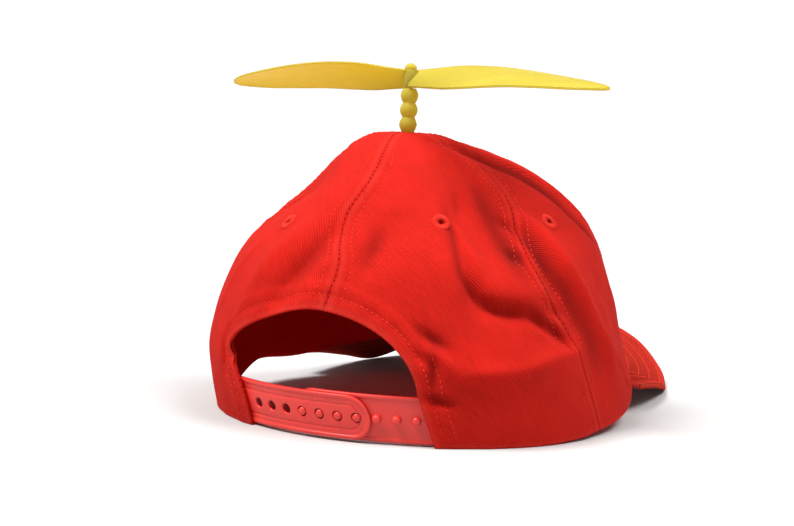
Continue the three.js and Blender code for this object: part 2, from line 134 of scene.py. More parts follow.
# Level sections from the rim to the stalk's hole, with the centre's shift and the reach from it at
# azimuths 0, 45, 90, 135 and 180 degrees
REACHES = ("back", "back_side", "side", "front_side", "front")
SECTION_COLUMNS = ("height", "shift_right", "shift_front") + REACHES
SECTIONS = np.array([
    (0, 1, 0, 97, 96, 93, 95, 98),
    (14, -1, -1, 99, 97, 93, 95, 99),
    (32, -3, -2, 100, 96.5, 91, 94, 99),
    (52, -3, -4, 97, 91, 87, 91, 97),
    (72, -2, -7, 87, 81, 79, 86, 93),
    (90, -1.5, -10, 70, 62, 63, 75, 83),
    (105, -2, -13, 53, 45, 47, 57, 68),
    (116, -4, -16, 36, 31, 32, 38, 48),
    (122.5, -5, -18, 22, 20, 21, 22, 28),
    (125, -5.5, -18, 13, 13, 13, 13, 13),
    (CROWN_TOP, -5.5, -18, 3, 3, 3, 3, 3),
])
SUMMIT = SECTIONS[-1]

# Azimuth of each seam at even steps from the rim to the top
SEAMS = {
    "back": (0, 0, 0, 0, 1, -3.8, 0.8, 3.5, 3, 2, 2),
    "side_right": (77, 73, 66.5, 61, 72.5, 77, 72, 62),
    "front_right": (124, 122, 121, 121),
    "front": (180, 180, 180, 180),
    "front_left": (236, 238, 239, 239),
    "side_left": (286, 294, 295, 298),
}
PANELS = {
    "panel_back_right": ("back", "side_right"),
    "panel_side_right": ("side_right", "front_right"),
    "panel_front_right": ("front_right", "front"),
    "panel_front_left": ("front", "front_left"),
    "panel_side_left": ("front_left", "side_left"),
    "panel_back_left": ("side_left", "back"),
}

# Soft folds, as azimuth, height, heading (0 to the wearer's right, 90 up), length, width, depth outwards
FOLDS = (
    (38.6, 63, -60, 8, 3.4, -2.8),
    (48.8, 54.4, -9, 12, 2.8, -3),
    (60.5, 47.2, -36, 10, 3, -2.6),
    (50, 61.5, -12, 15, 6, 2.7),
    (45, 90, 85, 24, 9, -3.5),
    (46, 33, 0, 38, 9, 3.5),
    (26, 43.5, -38, 8, 4, -1.4),
    (-10, 71.5, 62, 22, 6, -3.5),
    (-21.5, 71, 60, 22, 6.5, 3),
    (96, 114.5, -57, 20, 6, -3.5),
    (86, 42, -66, 32, 8, 2.5),
    (-88, 70, 80, 26, 10, -3),
    (150, 92, 60, 22, 10, -3),
    (-148, 84, 100, 24, 11, -3),
)
# Sharp creases that only the dressed cloth has, in the same columns
CREASES = (
    (36.5, 80, -86, 14, 3, -2.6),
    (38.3, 63.5, -62, 6, 2, -1.6),
    (42.6, 57.6, -34, 6, 1.8, -1.8),
    (49.5, 55, -9, 8, 1.7, -2),
    (57.6, 50.6, -28, 7, 1.8, -1.9),
    (63.8, 44.6, -45, 6, 1.9, -1.5),
    (40.5, 76.5, -62, 12, 3.6, 2.1),
    (55, 78, -85, 11, 5, -1.1),
    (42, 95.5, 70, 7, 3.5, -1.5),
    (56, 96, 80, 16, 5, -1),
    (29, 36.5, -40, 8, 3.2, 1.9),
    (41, 30.8, 0, 11, 3.2, 2.4),
    (55, 34, 12, 12, 3.2, 2.3),
    (67, 36, 5, 9, 3.2, 1.5),
    (27.5, 43.5, -28, 7, 2, -1.7),
    (28, 19.3, -8, 5.5, 1.9, -3),
    (27, 30.5, 85, 6, 2.4, -2.6),
    (25, 36.5, -30, 5, 2, -1.8),
    (-34.5, 27, 80, 6, 2, -1.8),
    (-29.5, 29, -5, 5, 1.6, -1.5),
    (61, 88.8, -20, 4, 2, -1.8),
    (56.5, 76.8, -20, 4, 2, -1.8),
    (63.5, 54, -20, 6, 2.4, -1.6),
    (65.5, 76, -93, 15, 3.4, -2.4),
    (73, 81, -93, 11, 5, 3.6),
    (74.5, 62, -68, 15, 5, 4),
    (82.5, 36, -64, 16, 4.5, 2.6),
    (97, 17, -40, 20, 2, 1.5),
    (-12, 71, 60, 14, 2.6, -1.6),
    (10, 79, 70, 9, 4, -1.8),
    (-50, 98, 10, 16, 7, -2.6),
    (-42, 60, 70, 16, 3, 0.9),
    (-66, 84, 90, 16, 14, 1.1),
    (103, 115.5, -58, 17, 3.4, -2),
    (109, 95, -92, 17, 3.8, -2.2),
    (119, 97, -88, 18, 4.5, 1.8),
    (128, 107, -20, 24, 12, 1.4),
    (116, 60, 90, 16, 14, -1),
    (108, 6, 0, 16, 10, 1.3),
)

# Painted shade that darkens the cloth in the hollows of the folds, with its share in the last column
PAINTED_FOLD_SHADE = (
    (55.5, 96, 78, 12, 5, 0.75),
    (54.7, 78, -88, 9, 5, 0.75),
    (62, 86.5, -70, 5, 2.5, 0.8),
    (57.8, 76.4, -60, 4, 2.5, 0.7),
    (35, 80, -85, 13, 2.5, 0.5),
    (38.6, 65, -57, 6, 2, 0.6),
    (43, 59, -29, 6, 2, 0.5),
    (51, 56.4, -9, 8, 2, 0.5),
    (59.5, 51.3, -33, 7, 2, 0.6),
    (65, 43.5, -48, 5, 2, 0.6),
    (66.3, 80, -92, 11, 3.2, 0.8),
    (69.5, 60, -66, 14, 3.2, 0.8),
    (76, 38.5, -66, 10, 3, 0.5),
    (104, 115, -66, 11, 3, 1),
    (111, 102, -90, 14, 3, 1),
    (110, 83, -90, 8, 3, 0.7),
    (9.5, 79, 70, 7, 3.5, 0.6),
    (-10, 72, 60, 13, 4, 0.5),
    (27, 44.5, -28, 6, 2, 0.7),
    (26.5, 31.5, 85, 6, 2.5, 0.7),
    (27.5, 20.6, -8, 5, 1.8, 0.8),
)

# Back opening: an arch on two jambs. Each side, 1 for the wearer's right, has half the arch's angle, the
# height where it springs, how pointed it is (1 is an ellipse), how the jamb flares (1 is straight) and the
# azimuth of the jamb's foot
ARCH_CENTRE = -3.2
ARCH_CREST = 53.5
ARCH_SIDES = {
    1: (26, 22, 1, 1, 25.5),
    -1: (28.5, 31, 1.35, 3, -26),
}
# Columns of cloth beside the opening lean this far away from it as they rise
ARCH_LEAN = 5
# Shares of a back panel's lower edge, counted from the back seam, at which the arch and the jamb end
ARCH_SHARE = 0.42
JAMB_SHARE = 0.58
# Radius at which the cloth round the opening is laid out flat
HEM_RADIUS = 98
# Hem stitches start this far above the rim, and the second row beside a jamb ends at this height
HEM_STITCH_LOW = 2
JAMB_STITCH_HIGH = 32

# Azimuth and height of each eyelet
EYELETS = {
    "eyelet_back_right": (31.3, 90),
    "eyelet_side_right": (85, 88.5),
    "eyelet_front_right": (150, 86),
    "eyelet_front_left": (210, 86),
    "eyelet_side_left": (268, 88),
    "eyelet_back_left": (330.5, 85.8),
}
# Bound ring: its radius, half its width and height, the turns of thread on it, and its stand off the wall
EYELET_RING = 2.7
EYELET_HALF_WIDTH = 1.35
EYELET_HALF_HEIGHT = 0.9
EYELET_TURNS = 24
EYELET_STAND = 0.5
# Cloth is cut away up to this distance from an eyelet's middle
EYELET_CUT = 2.4

# Peak: half of its outer edge as right, front, height, from the middle of the front to the rim
PEAK_CENTRE = 1
PEAK_HALF_ANGLE = 62
PEAK_THICKNESS = 2.6
# The joint is sewn this far into the crown's wall, above the rim's edge
PEAK_TUCK = 0.8
PEAK_RISE = 0.3
# First row of stitches, in pitches from the edge
PEAK_FIRST_ROW = 0.6
PEAK_EDGE = np.array([
    (0, 172, 29),
    (28, 169.5, 26),
    (53, 161, 17.5),
    (71.5, 142, 6.5),
    (81.5, 117, 1.35),
    (86.5, 92, 5.5),
    (88.5, 68, 9.5),
    (88, 47, 11.8),
])

# Sweatband: its depth behind the crown, thickness, azimuths and heights
BAND_DEPTH = 3.7
BAND_THICKNESS = 1.2
BAND_SPAN = (47, 313)
BAND_HEIGHTS = (1.2, 30)

# Snap strap: depths behind the crown, half widths, and places along it in degrees
STRAP_RADIUS = 97
STRAP_ARC = STRAP_RADIUS * math.pi / 180
STRAP_MIDDLE = 10.2
STRAP_HIDDEN_END = 42
HOLED_DEPTH = 1.9
HOLED_HALF = 9.35
HOLED_END = 10.7
STUDDED_DEPTH = 3.6
STUDDED_HALF = 9.85
STUDDED_END = -9.8
STUDDED_GRID = (220, 56)
STUD_PITCH = 4.9
STUD_COUNT = 7
FIRST_HOLE = -22.2
FIRST_STUD = -7.5
# Height of a stud's dome, and the sides that it is turned with
STUD_DOME = 0.9
STUD_SIDES = 32
# Raised rim of the strap as its width, the width of its step and its height
STRAP_RIM = (1.7, 0.3, 0.4)
# Fine line inside the rim: its distance from the edge, its width and its depth
STRAP_LINE_PLACE = 4.15
STRAP_LINE = (0.3, 0.3)
# Width and depth of the rounding along the strap's edge and round its holes
STRAP_ROUNDING = (0.45, 0.35)
HOLE_ROUNDING = (0.4, 0.3)
# Distances from the strap's edge at which rows of faces follow it, and shares of the way out from a hole
STRAP_ROWS = np.array([
    4.6, 4.45, 4.3, 4.15, 4, 3.8, 3.2, 2.4, 1.75, 1.6, 1.5, 1.35, 0.8, 0.45, 0.3, 0.15, 0.06, 0])
HOLE_ROWS = np.array([0, 0.04, 0.1, 0.18, 0.3, 0.5, 0.75, 1])

# Stalk and propeller, up the stalk's own axis from the crown's top
STALK_LEAN = 2
BEAD_COUNT = 3
BEAD_PITCH = 6.4
BEAD_BASE = 0.3
BEAD_RINGS = 15
# Plate under the crown, the shank through it, and the pin with its collar and domed head
PLATE_RADIUS = 7
PLATE_HEIGHTS = (-3.8, -2.4)
SHANK_RADIUS = 2.5
COLLAR_RADIUS = 2.6
PIN_RADIUS = 1.3
PIN_HEAD_RADIUS = 2.75
PIN_HEAD_EDGE = 0.3
PIN_HEAD_DOME = 2.5
# Gap between the hub and the pin's head
PIN_GAP = 0.08
HUB_CENTRE = 23.8
HUB_HEIGHT = 8
HUB_BORE = 1.65
TURNED_SIDES = 48
PROPELLER_HEADING = -8
PROPELLER_TILT = 0.55
BLADE_GRID = (90, 30)
BLADE_ROLL = (0.3, 0.3, 0.3, 0)
# Blade sections as radius, chord, pitch, rise
BLADE = np.array([
    (1, 10, 50, 0),
    (9, 12, 47, 0.2),
    (16, 15, 42, 0.5),
    (28, 22, 30, 0.9),
    (42, 28, 21, 0.9),
    (56, 31, 15, 0.3),
    (70, 31, 11, -0.9),
    (84, 25, 9, -2.2),
    (93, 14, 8, -3),
    (96.3, 4, 8, -3.4),
])

PEAK_LOW, PEAK_HIGH = (np.array(corner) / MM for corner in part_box("peak"))
CAP_SHIFT = np.array([
    (PEAK_LOW[0] + PEAK_HIGH[0]) / 2 - PEAK_CENTRE,
    PEAK_HIGH[1] - PEAK_EDGE[0, 1],
    0,
])


def linear(hex_colour):
    """An sRGB hex colour as linear red, green and blue."""
    channels = [int(hex_colour[i:i + 2], 16) / 255 for i in (1, 3, 5)]
    return tuple(c / 12.92 if c <= 0.04045 else ((c + 0.055) / 1.055) ** 2.4 for c in channels)


def length_prop(label, text, default):
    return FloatProperty(name=label, description=text, default=default * MM, unit="LENGTH", precision=5)


def angle_prop(label, text, degrees):
    return FloatProperty(name=label, description=text, default=math.radians(degrees), subtype="ANGLE")


def colour_prop(label, text, hex_colour):
    return FloatVectorProperty(
        name=label, description=text, default=linear(hex_colour), subtype="COLOR", size=3, min=0, max=1)


class ClothSettings(bpy.types.PropertyGroup):
    """Sizes and colours of the sewn parts."""
    twill_colour: colour_prop("Twill", "Colour of the cotton twill", "#BF1C11")
    glow_colour: colour_prop("Glow", "Colour of the light that passes through the twill", "#FF2C1A")
    # Darker than the loose twill: painted shade on the peak
    peak_painted_shade_colour: colour_prop("Peak", "Colour of the twill on the peak's board", "#8C2118")
    thread_colour: colour_prop("Thread", "Colour of the sewing thread", "#CC2F23")
    # Real thread in a seam's ditch, coloured dark as painted shade of the ditch
    seam_thread_painted_shade_colour: colour_prop("Seam Thread", "Colour of the shaded thread down in a seam", "#640B08")
    thickness: length_prop("Thickness", "Wall of a panel", 1.5)
    # Real ribs are about 0.6 mm apart, drawn coarser here to show
    twill_pitch: length_prop("Twill Pitch", "Distance between the diagonal ribs of the twill", 0.85)
    twill_slope: angle_prop("Twill Slope", "Fall of the ribs to the right", 56)
    seam_to_stitch: length_prop("Seam to Stitch", "Distance of a topstitch row from its seam", 5.3)
    hem_to_stitch: length_prop("Hem to Stitch", "Distance of the hem's stitch row from the edge", 5)
    stitch_length: length_prop("Stitch", "Length of one stitch", 1.7)
    stitch_gap: length_prop("Stitch Gap", "Gap between stitches", 0.7)
    # Real thread is about 0.35 mm thick, drawn thicker here to show
    thread: length_prop("Thread Width", "Thickness of the sewing thread", 0.5)
    peak_rows: IntProperty(name="Peak Rows", description="Rows of stitching on the peak", default=5, min=1)
    peak_row_pitch: length_prop("Peak Row Pitch", "Distance between the peak's stitch rows", 7.5)


class PlasticSettings(bpy.types.PropertyGroup):
    """Sizes and colours of the moulded parts."""
    strap_colour: colour_prop("Strap", "Colour of the snap strap", "#C9281F")
    propeller_colour: colour_prop("Propeller", "Colour of the stalk and the propeller", "#B0AC48")
    strap_thickness: length_prop("Strap Thickness", "Wall of one half of the strap", 1.2)
    hole_radius: length_prop("Hole Radius", "Radius of a hole in the strap", 2.1)
    stud_radius: length_prop("Stud Radius", "Radius of a stud", 1.75)
    stud_length: length_prop("Stud Length", "How far a stud stands out", 2.3)
    bead_radius: length_prop("Bead Radius", "Radius of the stalk at a bead", 3.95)
    neck_radius: length_prop("Neck Radius", "Radius of the stalk between beads", 2.75)
    hub_radius: length_prop("Hub Radius", "Radius of the propeller's hub", 2.9)
    blade_thickness: length_prop("Blade Thickness", "Thickness in the middle of a blade", 1.6)
    blade_camber: FloatProperty(
        name="Blade Camber", description="Bow of a blade's section", default=0.06, subtype="FACTOR",
        min=0, max=1)


class StageSettings(bpy.types.PropertyGroup):
    """The camera and the floor."""
    azimuth: angle_prop("Azimuth", "Camera's place round the cap", 24)
    pitch: angle_prop("Pitch", "Camera's look down", 5.3)
    roll: angle_prop("Roll", "Camera's turn about its view", 2.3)
    distance: length_prop("Distance", "Camera's distance from the rim's centre", 760)
    height: length_prop("Height", "Camera's height over the floor", 136)
    side_step: length_prop("Side Step", "Camera's step to its left", 14.7)
    lens: FloatProperty(name="Lens", description="Focal length", default=75.8, unit="CAMERA")
    floor_colour: colour_prop("Floor", "Colour of the floor", "#ABAAA9")


def to_frame(points):
    """Millimetres in the cap's axes to metres in the frame."""
    return (np.asarray(points, float) + CAP_SHIFT) * MM


def spline(values, place):
    """Catmull-Rom values through evenly spaced numbers, at places counted in steps."""
    values = np.asarray(values, float)
    place = np.asarray(place, float)
    ends = np.concatenate([[2 * values[0] - values[1]], values, [2 * values[-1] - values[-2]]])
    i = np.clip(np.floor(place).astype(int), 0, len(values) - 2)
    f = place - i
    before, here, following, after = (ends[i + k] for k in range(4))
    bend = 2 * before - 5 * here + 4 * following - after
    twist = 3 * (here - following) + after - before
    return here + 0.5 * f * (following - before + f * (bend + f * twist))


def section(name, t):
    return spline(SECTIONS[:, SECTION_COLUMNS.index(name)], np.asarray(t) * (len(SECTIONS) - 1))


PLACES = np.linspace(0, 1, 2001)
HEIGHTS = section("height", PLACES)


def place_of(height):
    """Fraction of the way from rim to top at which a section has the given height."""
    return np.interp(height, HEIGHTS, PLACES)


def from_back(azimuth):
    return np.arctan2(np.sin(azimuth), np.cos(azimuth))


def round_section(values, azimuth):
    """Even cosine series through values spaced from 0 to 180 degrees."""
    steps = len(values) - 1
    share = [0.5] + [1] * (steps - 1) + [0.5]
    total = 0
    for m in range(steps + 1):
        wave = sum(share[k] * values[k] * math.cos(m * k * math.pi / steps) for k in range(steps + 1))
        total = total + 2 / steps * share[m] * wave * np.cos(m * azimuth)
    return total


def groove(distance, width, depth=1):
    """A soft groove of a width and depth along distance 0."""
    return depth * np.exp(-(distance / width) ** 2)


def lap(distance, reach, width, height):
    """A raised strip that reaches so far from an edge and falls off over a width."""
    return height * np.clip((reach - distance) / width, 0, 1)


def rim_lift(azimuth):
    """Height of the rim above the floor."""
    flat = math.radians(FLAT_RIM)
    s = np.maximum(0, (np.abs(from_back(azimuth)) - flat) / (math.pi - flat))
    place, width, height = LEFT_RUCK
    ruck = groove(np.degrees(from_back(azimuth)) - place, width, height)
    return RIM_LIFT * s * s * (3 - 2 * s) + ruck


def seam_azimuth(name, t):
    return np.radians(spline(SEAMS[name], (len(SEAMS[name]) - 1) * np.asarray(t)))


def smooth_crown(azimuth, t):
    """The crown's outer face without folds."""
    azimuth, t = np.broadcast_arrays(np.asarray(azimuth, float), np.asarray(t, float))
    reach = round_section([section(name, t) for name in REACHES], azimuth)
    height = section("height", t)
    return np.stack([
        section("shift_right", t) + reach * np.sin(azimuth),
        section("shift_front", t) - reach * np.cos(azimuth),
        height + rim_lift(azimuth) * (1 - height / CROWN_TOP),
    ], axis=-1)


def unit(vectors):
    return vectors / np.linalg.norm(vectors, axis=-1, keepdims=True)


def crown_normal(azimuth, t):
    step = 1e-3
    t = np.asarray(t, float)
    across = smooth_crown(azimuth + step, t) - smooth_crown(azimuth - step, t)
    up = smooth_crown(azimuth, np.minimum(t + step, 1)) - smooth_crown(azimuth, np.maximum(t - step, 0))
    return unit(np.cross(across, up))


def long_dents(table, azimuth, t):
    """Sum of the folds in a table, outwards."""
    radius = section("side", t)
    out = np.zeros_like(radius)
    for fold_azimuth, height, heading, length, width, depth in table:
        right = radius * from_back(azimuth - math.radians(fold_azimuth))
        up = CLOTH_LENGTH * (t - place_of(height))
        turn = math.radians(heading)
        along = (right * math.cos(turn) + up * math.sin(turn)) / length
        across = (up * math.cos(turn) - right * math.sin(turn)) / width
        out += depth * np.exp(-along ** 2 - across ** 2)
    return out


def seam_distances(azimuth, t):
    """Distance from each seam, positive to the wearer's right, one row per seam."""
    return np.array([section("side", t) * from_back(azimuth - seam_azimuth(name, t)) for name in SEAMS])


def body_relief(azimuth, t):
    """Soft folds and the pull of the seams."""
    pulls = groove(seam_distances(azimuth, t), SEAM_SINK_WIDTH).sum(axis=0)
    return long_dents(FOLDS, azimuth, t) - SEAM_SINK * (1 - t) * pulls


def row_spread(t):
    """Share of their full distance that topstitch rows keep from their seam."""
    return np.minimum(1, section("side", t) / ROWS_CLOSE_IN)


def arch_edge(side, steps=160):
    """Edge of the back opening on one side, from the back seam over the arch and down the jamb."""
    crest = float(seam_azimuth("back", place_of(ARCH_CREST)))
    return back_lower_edge(side, None, np.linspace(0, JAMB_SHARE, steps), crest)


def back_lower_edge(side, side_seam, q, crest):
    """Azimuth and place of a back panel's lower edge: arch, jamb, then rim."""
    centre = math.radians(ARCH_CENTRE)
    angle, spring, _, flare, foot = ARCH_SIDES[side]
    corner, foot = centre + side * math.radians(angle), math.radians(foot)
    start = math.asin((crest - centre) / math.radians(ARCH_SIDES[1][0]))
    turn = np.interp(q, [0, ARCH_SHARE], [start, side * math.pi / 2])
    half, low, point = (np.where(turn > 0, a, b) for a, b in zip(ARCH_SIDES[1][:3], ARCH_SIDES[-1][:3]))
    arch = centre + np.radians(half) * np.sign(turn) * np.abs(np.sin(turn)) ** point
    arch_height = low + (ARCH_CREST - low) * np.abs(np.cos(turn)) ** point
    down = np.clip((q - ARCH_SHARE) / (JAMB_SHARE - ARCH_SHARE), 0, 1)
    jamb = corner + (foot - corner) * (1 - (1 - down) ** flare)
    azimuth = np.where(q < ARCH_SHARE, arch, jamb)
    height = np.where(q < ARCH_SHARE, arch_height, spring * (1 - down))
    if side_seam is not None:
        along = np.clip((q - JAMB_SHARE) / (1 - JAMB_SHARE), 0, 1)
        azimuth = azimuth + (float(side_seam(0)) - foot) * along
    return azimuth, place_of(height) * (height > 0)


def flattened(azimuth, t):
    """Places near the back opening as a flat sheet of cloth."""
    return np.stack([HEM_RADIUS * azimuth, CLOTH_LENGTH * np.asarray(t)], axis=-1)


def hem_distance(azimuth, t):
    """Distance from the edge of the back opening."""
    edge = np.concatenate([flattened(*arch_edge(side)) for side in (-1, 1)])
    points = flattened(from_back(azimuth), t).reshape(-1, 2)
    nearest = np.full(len(points), np.inf)
    for x, y in edge:
        nearest = np.minimum(nearest, (points[:, 0] - x) ** 2 + (points[:, 1] - y) ** 2)
    return np.sqrt(nearest).reshape(np.shape(azimuth))


def cloth_noise(azimuth, t, size, height, seed):
    """Smooth waves over the cloth, of a size and height."""
    x = section("side", t) * azimuth / size
    y = CLOTH_LENGTH * t / size
    flat = [noise.noise((a, b, seed)) for a, b in zip(x.ravel(), y.ravel())]
    return height * np.array(flat).reshape(x.shape)


def cloth_relief(azimuth, t, cloth):
    """Everything that moves the dressed cloth outwards: folds, creases, seams, hems and puckers."""
    spread = row_spread(t)
    near = np.abs(seam_distances(azimuth, t)).min(axis=0) / spread
    row = cloth.seam_to_stitch / MM
    at_seam = cloth_noise(azimuth, t, *SEAM_PUCKERS) * groove(near - row, PUCKER_REACH)
    at_seam += lap(near, row + LAP_PAST_STITCH, *SEAM_LAP)
    at_seam -= groove(near, *SEAM_LINE) + groove(near - row, *SEAM_GROOVE)
    hem = hem_distance(azimuth, t)
    hem_row = cloth.hem_to_stitch / MM
    at_hem = cloth_noise(azimuth, t, *HEM_PUCKERS) * groove(hem - hem_row, PUCKER_REACH)
    at_hem += lap(hem, 2 * hem_row, *HEM_LAP) - groove(hem - hem_row, *HEM_GROOVE)
    slack = sum(cloth_noise(azimuth, t, *waves) for waves in SLACK) * np.clip(near / SLACK_REACH, 0, 1)
    folds = body_relief(azimuth, t) + long_dents(CREASES, azimuth, t)
    return folds + slack + at_seam * spread + at_hem


def cloth_wear_and_painted_shade(azimuth, t):
    """Above 0 where the dye has rubbed pale, and below 0 where shade is painted into the hollows of the
    folds.
    """
    near = np.abs(seam_distances(azimuth, t)).min(axis=0)
    rubbed = groove(hem_distance(azimuth, t), HEM_RUB) + groove(CLOTH_LENGTH * t, RIM_RUB)
    rubbed += groove(near - SEAM_RUB_PLACE, *SEAM_RUB)
    pale = np.clip(rubbed * (RUB_SHARE + cloth_noise(azimuth, t, *FADING)), 0, 1)
    return pale - np.clip(long_dents(PAINTED_FOLD_SHADE, azimuth, t), 0, 1)


def crown_surface(azimuth, t, depth, cloth, fine=True):
    """Points of the cloth at a depth behind its outer face, with soft folds alone if not fine."""
    relief = cloth_relief(azimuth, t, cloth) if fine else body_relief(azimuth, t)
    smooth = smooth_crown(azimuth, t)
    points = smooth + crown_normal(azimuth, t) * (relief - depth)[..., None]
    points[..., 2] = np.where(t == 0, smooth[..., 2], points[..., 2])
    return points


def unfolded_surface(azimuth, height, depth):
    """Points behind the crown as it would be without folds and seams."""
    t = place_of(height)
    depth = np.broadcast_to(depth, np.shape(azimuth))
    return smooth_crown(azimuth, t) - crown_normal(azimuth, t) * depth[..., None]


def add_piece(name, points, faces, material, body="cap", nodes=(), uv=None, wear_and_painted_shade=None):
    """A smooth mesh object that rides on a body, from points in the cap's millimetres."""
    mesh = bpy.data.meshes.new(name)
    mesh.from_pydata(to_frame(points).tolist(), [], [tuple(map(int, face)) for face in faces])
    mesh.materials.append(material)
    mesh.shade_smooth()
    if uv is not None:
        corners = np.empty(len(mesh.loops), dtype=np.int32)
        mesh.loops.foreach_get("vertex_index", corners)
        mesh.uv_layers.new(name="grain").data.foreach_set("uv", np.asarray(uv, np.float32)[corners].ravel())
    # Per point: rubbed paleness above 0, painted shade in the hollows of the folds below 0
    if wear_and_painted_shade is not None:
        values = mesh.attributes.new("wear_and_painted_shade", "FLOAT", "POINT").data
        values.foreach_set("value", np.asarray(wear_and_painted_shade, np.float32))
    mesh.validate()
    piece = bpy.data.objects.new(name, mesh)
    bpy.context.collection.objects.link(piece)
    if nodes:
        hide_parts(*nodes)
    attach(piece, body)
    return piece


def unit_grid(columns, rows):
    """Fractions across and up a sheet."""
    return np.meshgrid(np.linspace(0, 1, columns), np.linspace(0, 1, rows), indexing="ij")


def grid_quads(first, columns, rows, outward=True):
    """Quads of a grid of points numbered down its columns."""
    i, j = np.meshgrid(np.arange(columns - 1), np.arange(rows - 1), indexing="ij")
    corner = first + (i * rows + j).ravel()
    quads = np.stack([corner, corner + rows, corner + rows + 1, corner + 1], axis=1)
    return quads if outward else quads[:, ::-1]


def rolled_wall(outer, inner, uv, roll):
    """A closed wall between two grids, its edges rolled over by (bottom, right, top, left)."""
    columns, rows = outer.shape[:2]
    steps = 4
    sides = (
        ([(i, 0) for i in range(columns - 1)], (0, 1)),
        ([(columns - 1, j) for j in range(rows - 1)], (-1, 0)),
        ([(i, rows - 1) for i in range(columns - 1, 0, -1)], (0, -1)),
        ([(0, j) for j in range(rows - 1, 0, -1)], (1, 0)),
    )
    counts = [len(side) for side, _ in sides]
    loop = np.concatenate([side for side, _ in sides])
    inward = np.repeat([way for _, way in sides], counts, axis=0)
    bulge = np.repeat(roll, counts).astype(float)[:, None]
    i, j = loop.T
    ni, nj = np.clip(loop + inward, 0, [columns - 1, rows - 1]).T
    out = unit(outer[i, j] - outer[ni, nj])
    outer, inner = outer.copy(), inner.copy()
    outer[i, j] -= out * bulge
    inner[i, j] -= out * bulge
    count = columns * rows
    points = [outer.reshape(-1, 3), inner.reshape(-1, 3)]
    rings = [i * rows + j]
    for k in range(1, steps):
        turn = math.pi * k / steps
        share = (1 - math.cos(turn)) / 2
        points.append(outer[i, j] * (1 - share) + inner[i, j] * share + out * bulge * math.sin(turn))
        rings.append(2 * count + (k - 1) * len(loop) + np.arange(len(loop)))
    rings.append(count + i * rows + j)
    faces = [grid_quads(0, columns, rows), grid_quads(count, columns, rows, outward=False)]
    for a, b in zip(rings, rings[1:]):
        faces.append(np.stack([a, b, np.roll(b, -1), np.roll(a, -1)], axis=1))
    flat_uv = uv.reshape(-1, 2)
    all_uv = np.concatenate([flat_uv, flat_uv] + [uv[i, j]] * (steps - 1))
    return np.concatenate(points), np.concatenate(faces), all_uv


def lathe(profile, sides):
    """Points and faces of (radius, height) pairs, from the axis back to the axis, turned about +Z."""
    profile = np.asarray(profile, float)
    angles = np.linspace(0, 2 * math.pi, sides, endpoint=False)
    body = profile[1:-1]
    rings = np.stack([
        body[:, :1] * np.cos(angles),
        body[:, :1] * np.sin(angles),
        np.repeat(body[:, 1:], sides, axis=1),
    ], axis=-1).reshape(-1, 3)
    points = np.concatenate([rings, [(0, 0, profile[0, 1]), (0, 0, profile[-1, 1])]])
    k = np.arange(sides)
    following = (k + 1) % sides
    last = (len(body) - 1) * sides
    faces = []
    for low in range(0, last, sides):
        high = low + sides
        faces += np.stack([low + k, low + following, high + following, high + k], axis=1).tolist()
    faces += [(len(rings), int(b), int(a)) for a, b in zip(k, following)]
    faces += [(len(rings) + 1, last + int(a), last + int(b)) for a, b in zip(k, following)]
    return points, faces


def turned(points, normal, centre):
    """Points about +Z turned to stand on a surface with the given normal."""
    turn = np.array(Vector((0, 0, 1)).rotation_difference(Vector(normal)).to_matrix())
    return np.asarray(points) @ turn.T + centre


def joined(parts):
    """Several (points, faces, ...) as one, renumbered. Further entries are joined as they are."""
    points = np.concatenate([part[0] for part in parts])
    offsets = np.cumsum([0] + [len(part[0]) for part in parts])
    faces = []
    for part, offset in zip(parts, offsets):
        faces += [tuple(int(v) + int(offset) for v in face) for face in part[1]]
    rest = [np.concatenate([part[k] for part in parts]) for k in range(2, len(parts[0]))]
    return (points, faces, *rest)


def stitch_row(path, normals, cloth, share=1.0):
    """Stitches along a path on the cloth: each a thread that comes up, lies over and goes down again.

    share is how much of a stitch's length shows.
    """
    stitch = share * cloth.stitch_length / MM
    pitch = (cloth.stitch_length + cloth.stitch_gap) / MM
    thread = cloth.thread / MM / 2
    rings, sides = 6, 6
    along = np.concatenate([[0], np.cumsum(np.linalg.norm(np.diff(path, axis=0), axis=1))])
    count = int(along[-1] // pitch)
    starts = (np.arange(count) + 0.5) * along[-1] / count - stitch / 2
    f = np.linspace(0, 1, rings)
    s = starts[:, None] + f * stitch
    centres = np.stack([np.interp(s, along, path[:, k]) for k in range(3)], axis=-1)
    up = unit(np.stack([np.interp(s, along, normals[:, k]) for k in range(3)], axis=-1))
    forward = unit(centres[:, -1:] - centres[:, :1])
    aside = np.cross(forward, up)
    # Each stitch leans a little to one side, and its thread is thinner where it dips into the cloth
    lean = 0.12 * np.sin(np.arange(count) * 12.9)[:, None, None] * (f - 0.5)[None, :, None] * stitch
    arc = np.sin(math.pi * f)
    centres = centres + aside * lean + up * (thread * (1.5 * arc - 0.9))[None, :, None]
    radius = (thread * (0.35 + 0.65 * np.sqrt(arc)))[None, :, None, None]
    angles = np.linspace(0, 2 * math.pi, sides, endpoint=False)
    circle = np.cos(angles)[:, None] * aside[:, :, None] + np.sin(angles)[:, None] * up[:, :, None]
    points = (centres[:, :, None] + radius * circle).reshape(-1, 3)
    faces = []
    for first in range(0, len(points), rings * sides):
        for low in range(first, first + (rings - 1) * sides, sides):
            high = low + sides
            for a in range(sides):
                b = (a + 1) % sides
                faces.append((low + a, low + b, high + b, high + a))
        faces.append(tuple(first + a for a in range(sides - 1, -1, -1)))
        faces.append(tuple(first + (rings - 1) * sides + a for a in range(sides)))
    one = np.stack(np.meshgrid(f * stitch, angles * thread, indexing="ij"), axis=-1).reshape(-1, 2)
    return points, faces, np.tile(one, (count, 1))


def add_stitches(name, rows, thread):
    """One piece of all the stitches in several rows."""
    points, faces, uv = joined(rows)
    add_piece(name, points, faces, thread, uv=uv)


def sewn_on_crown(azimuth, t, cloth, share=1.0):
    """Stitches along a path on the crown."""
    return stitch_row(crown_surface(azimuth, t, 0, cloth), crown_normal(azimuth, t), cloth, share)


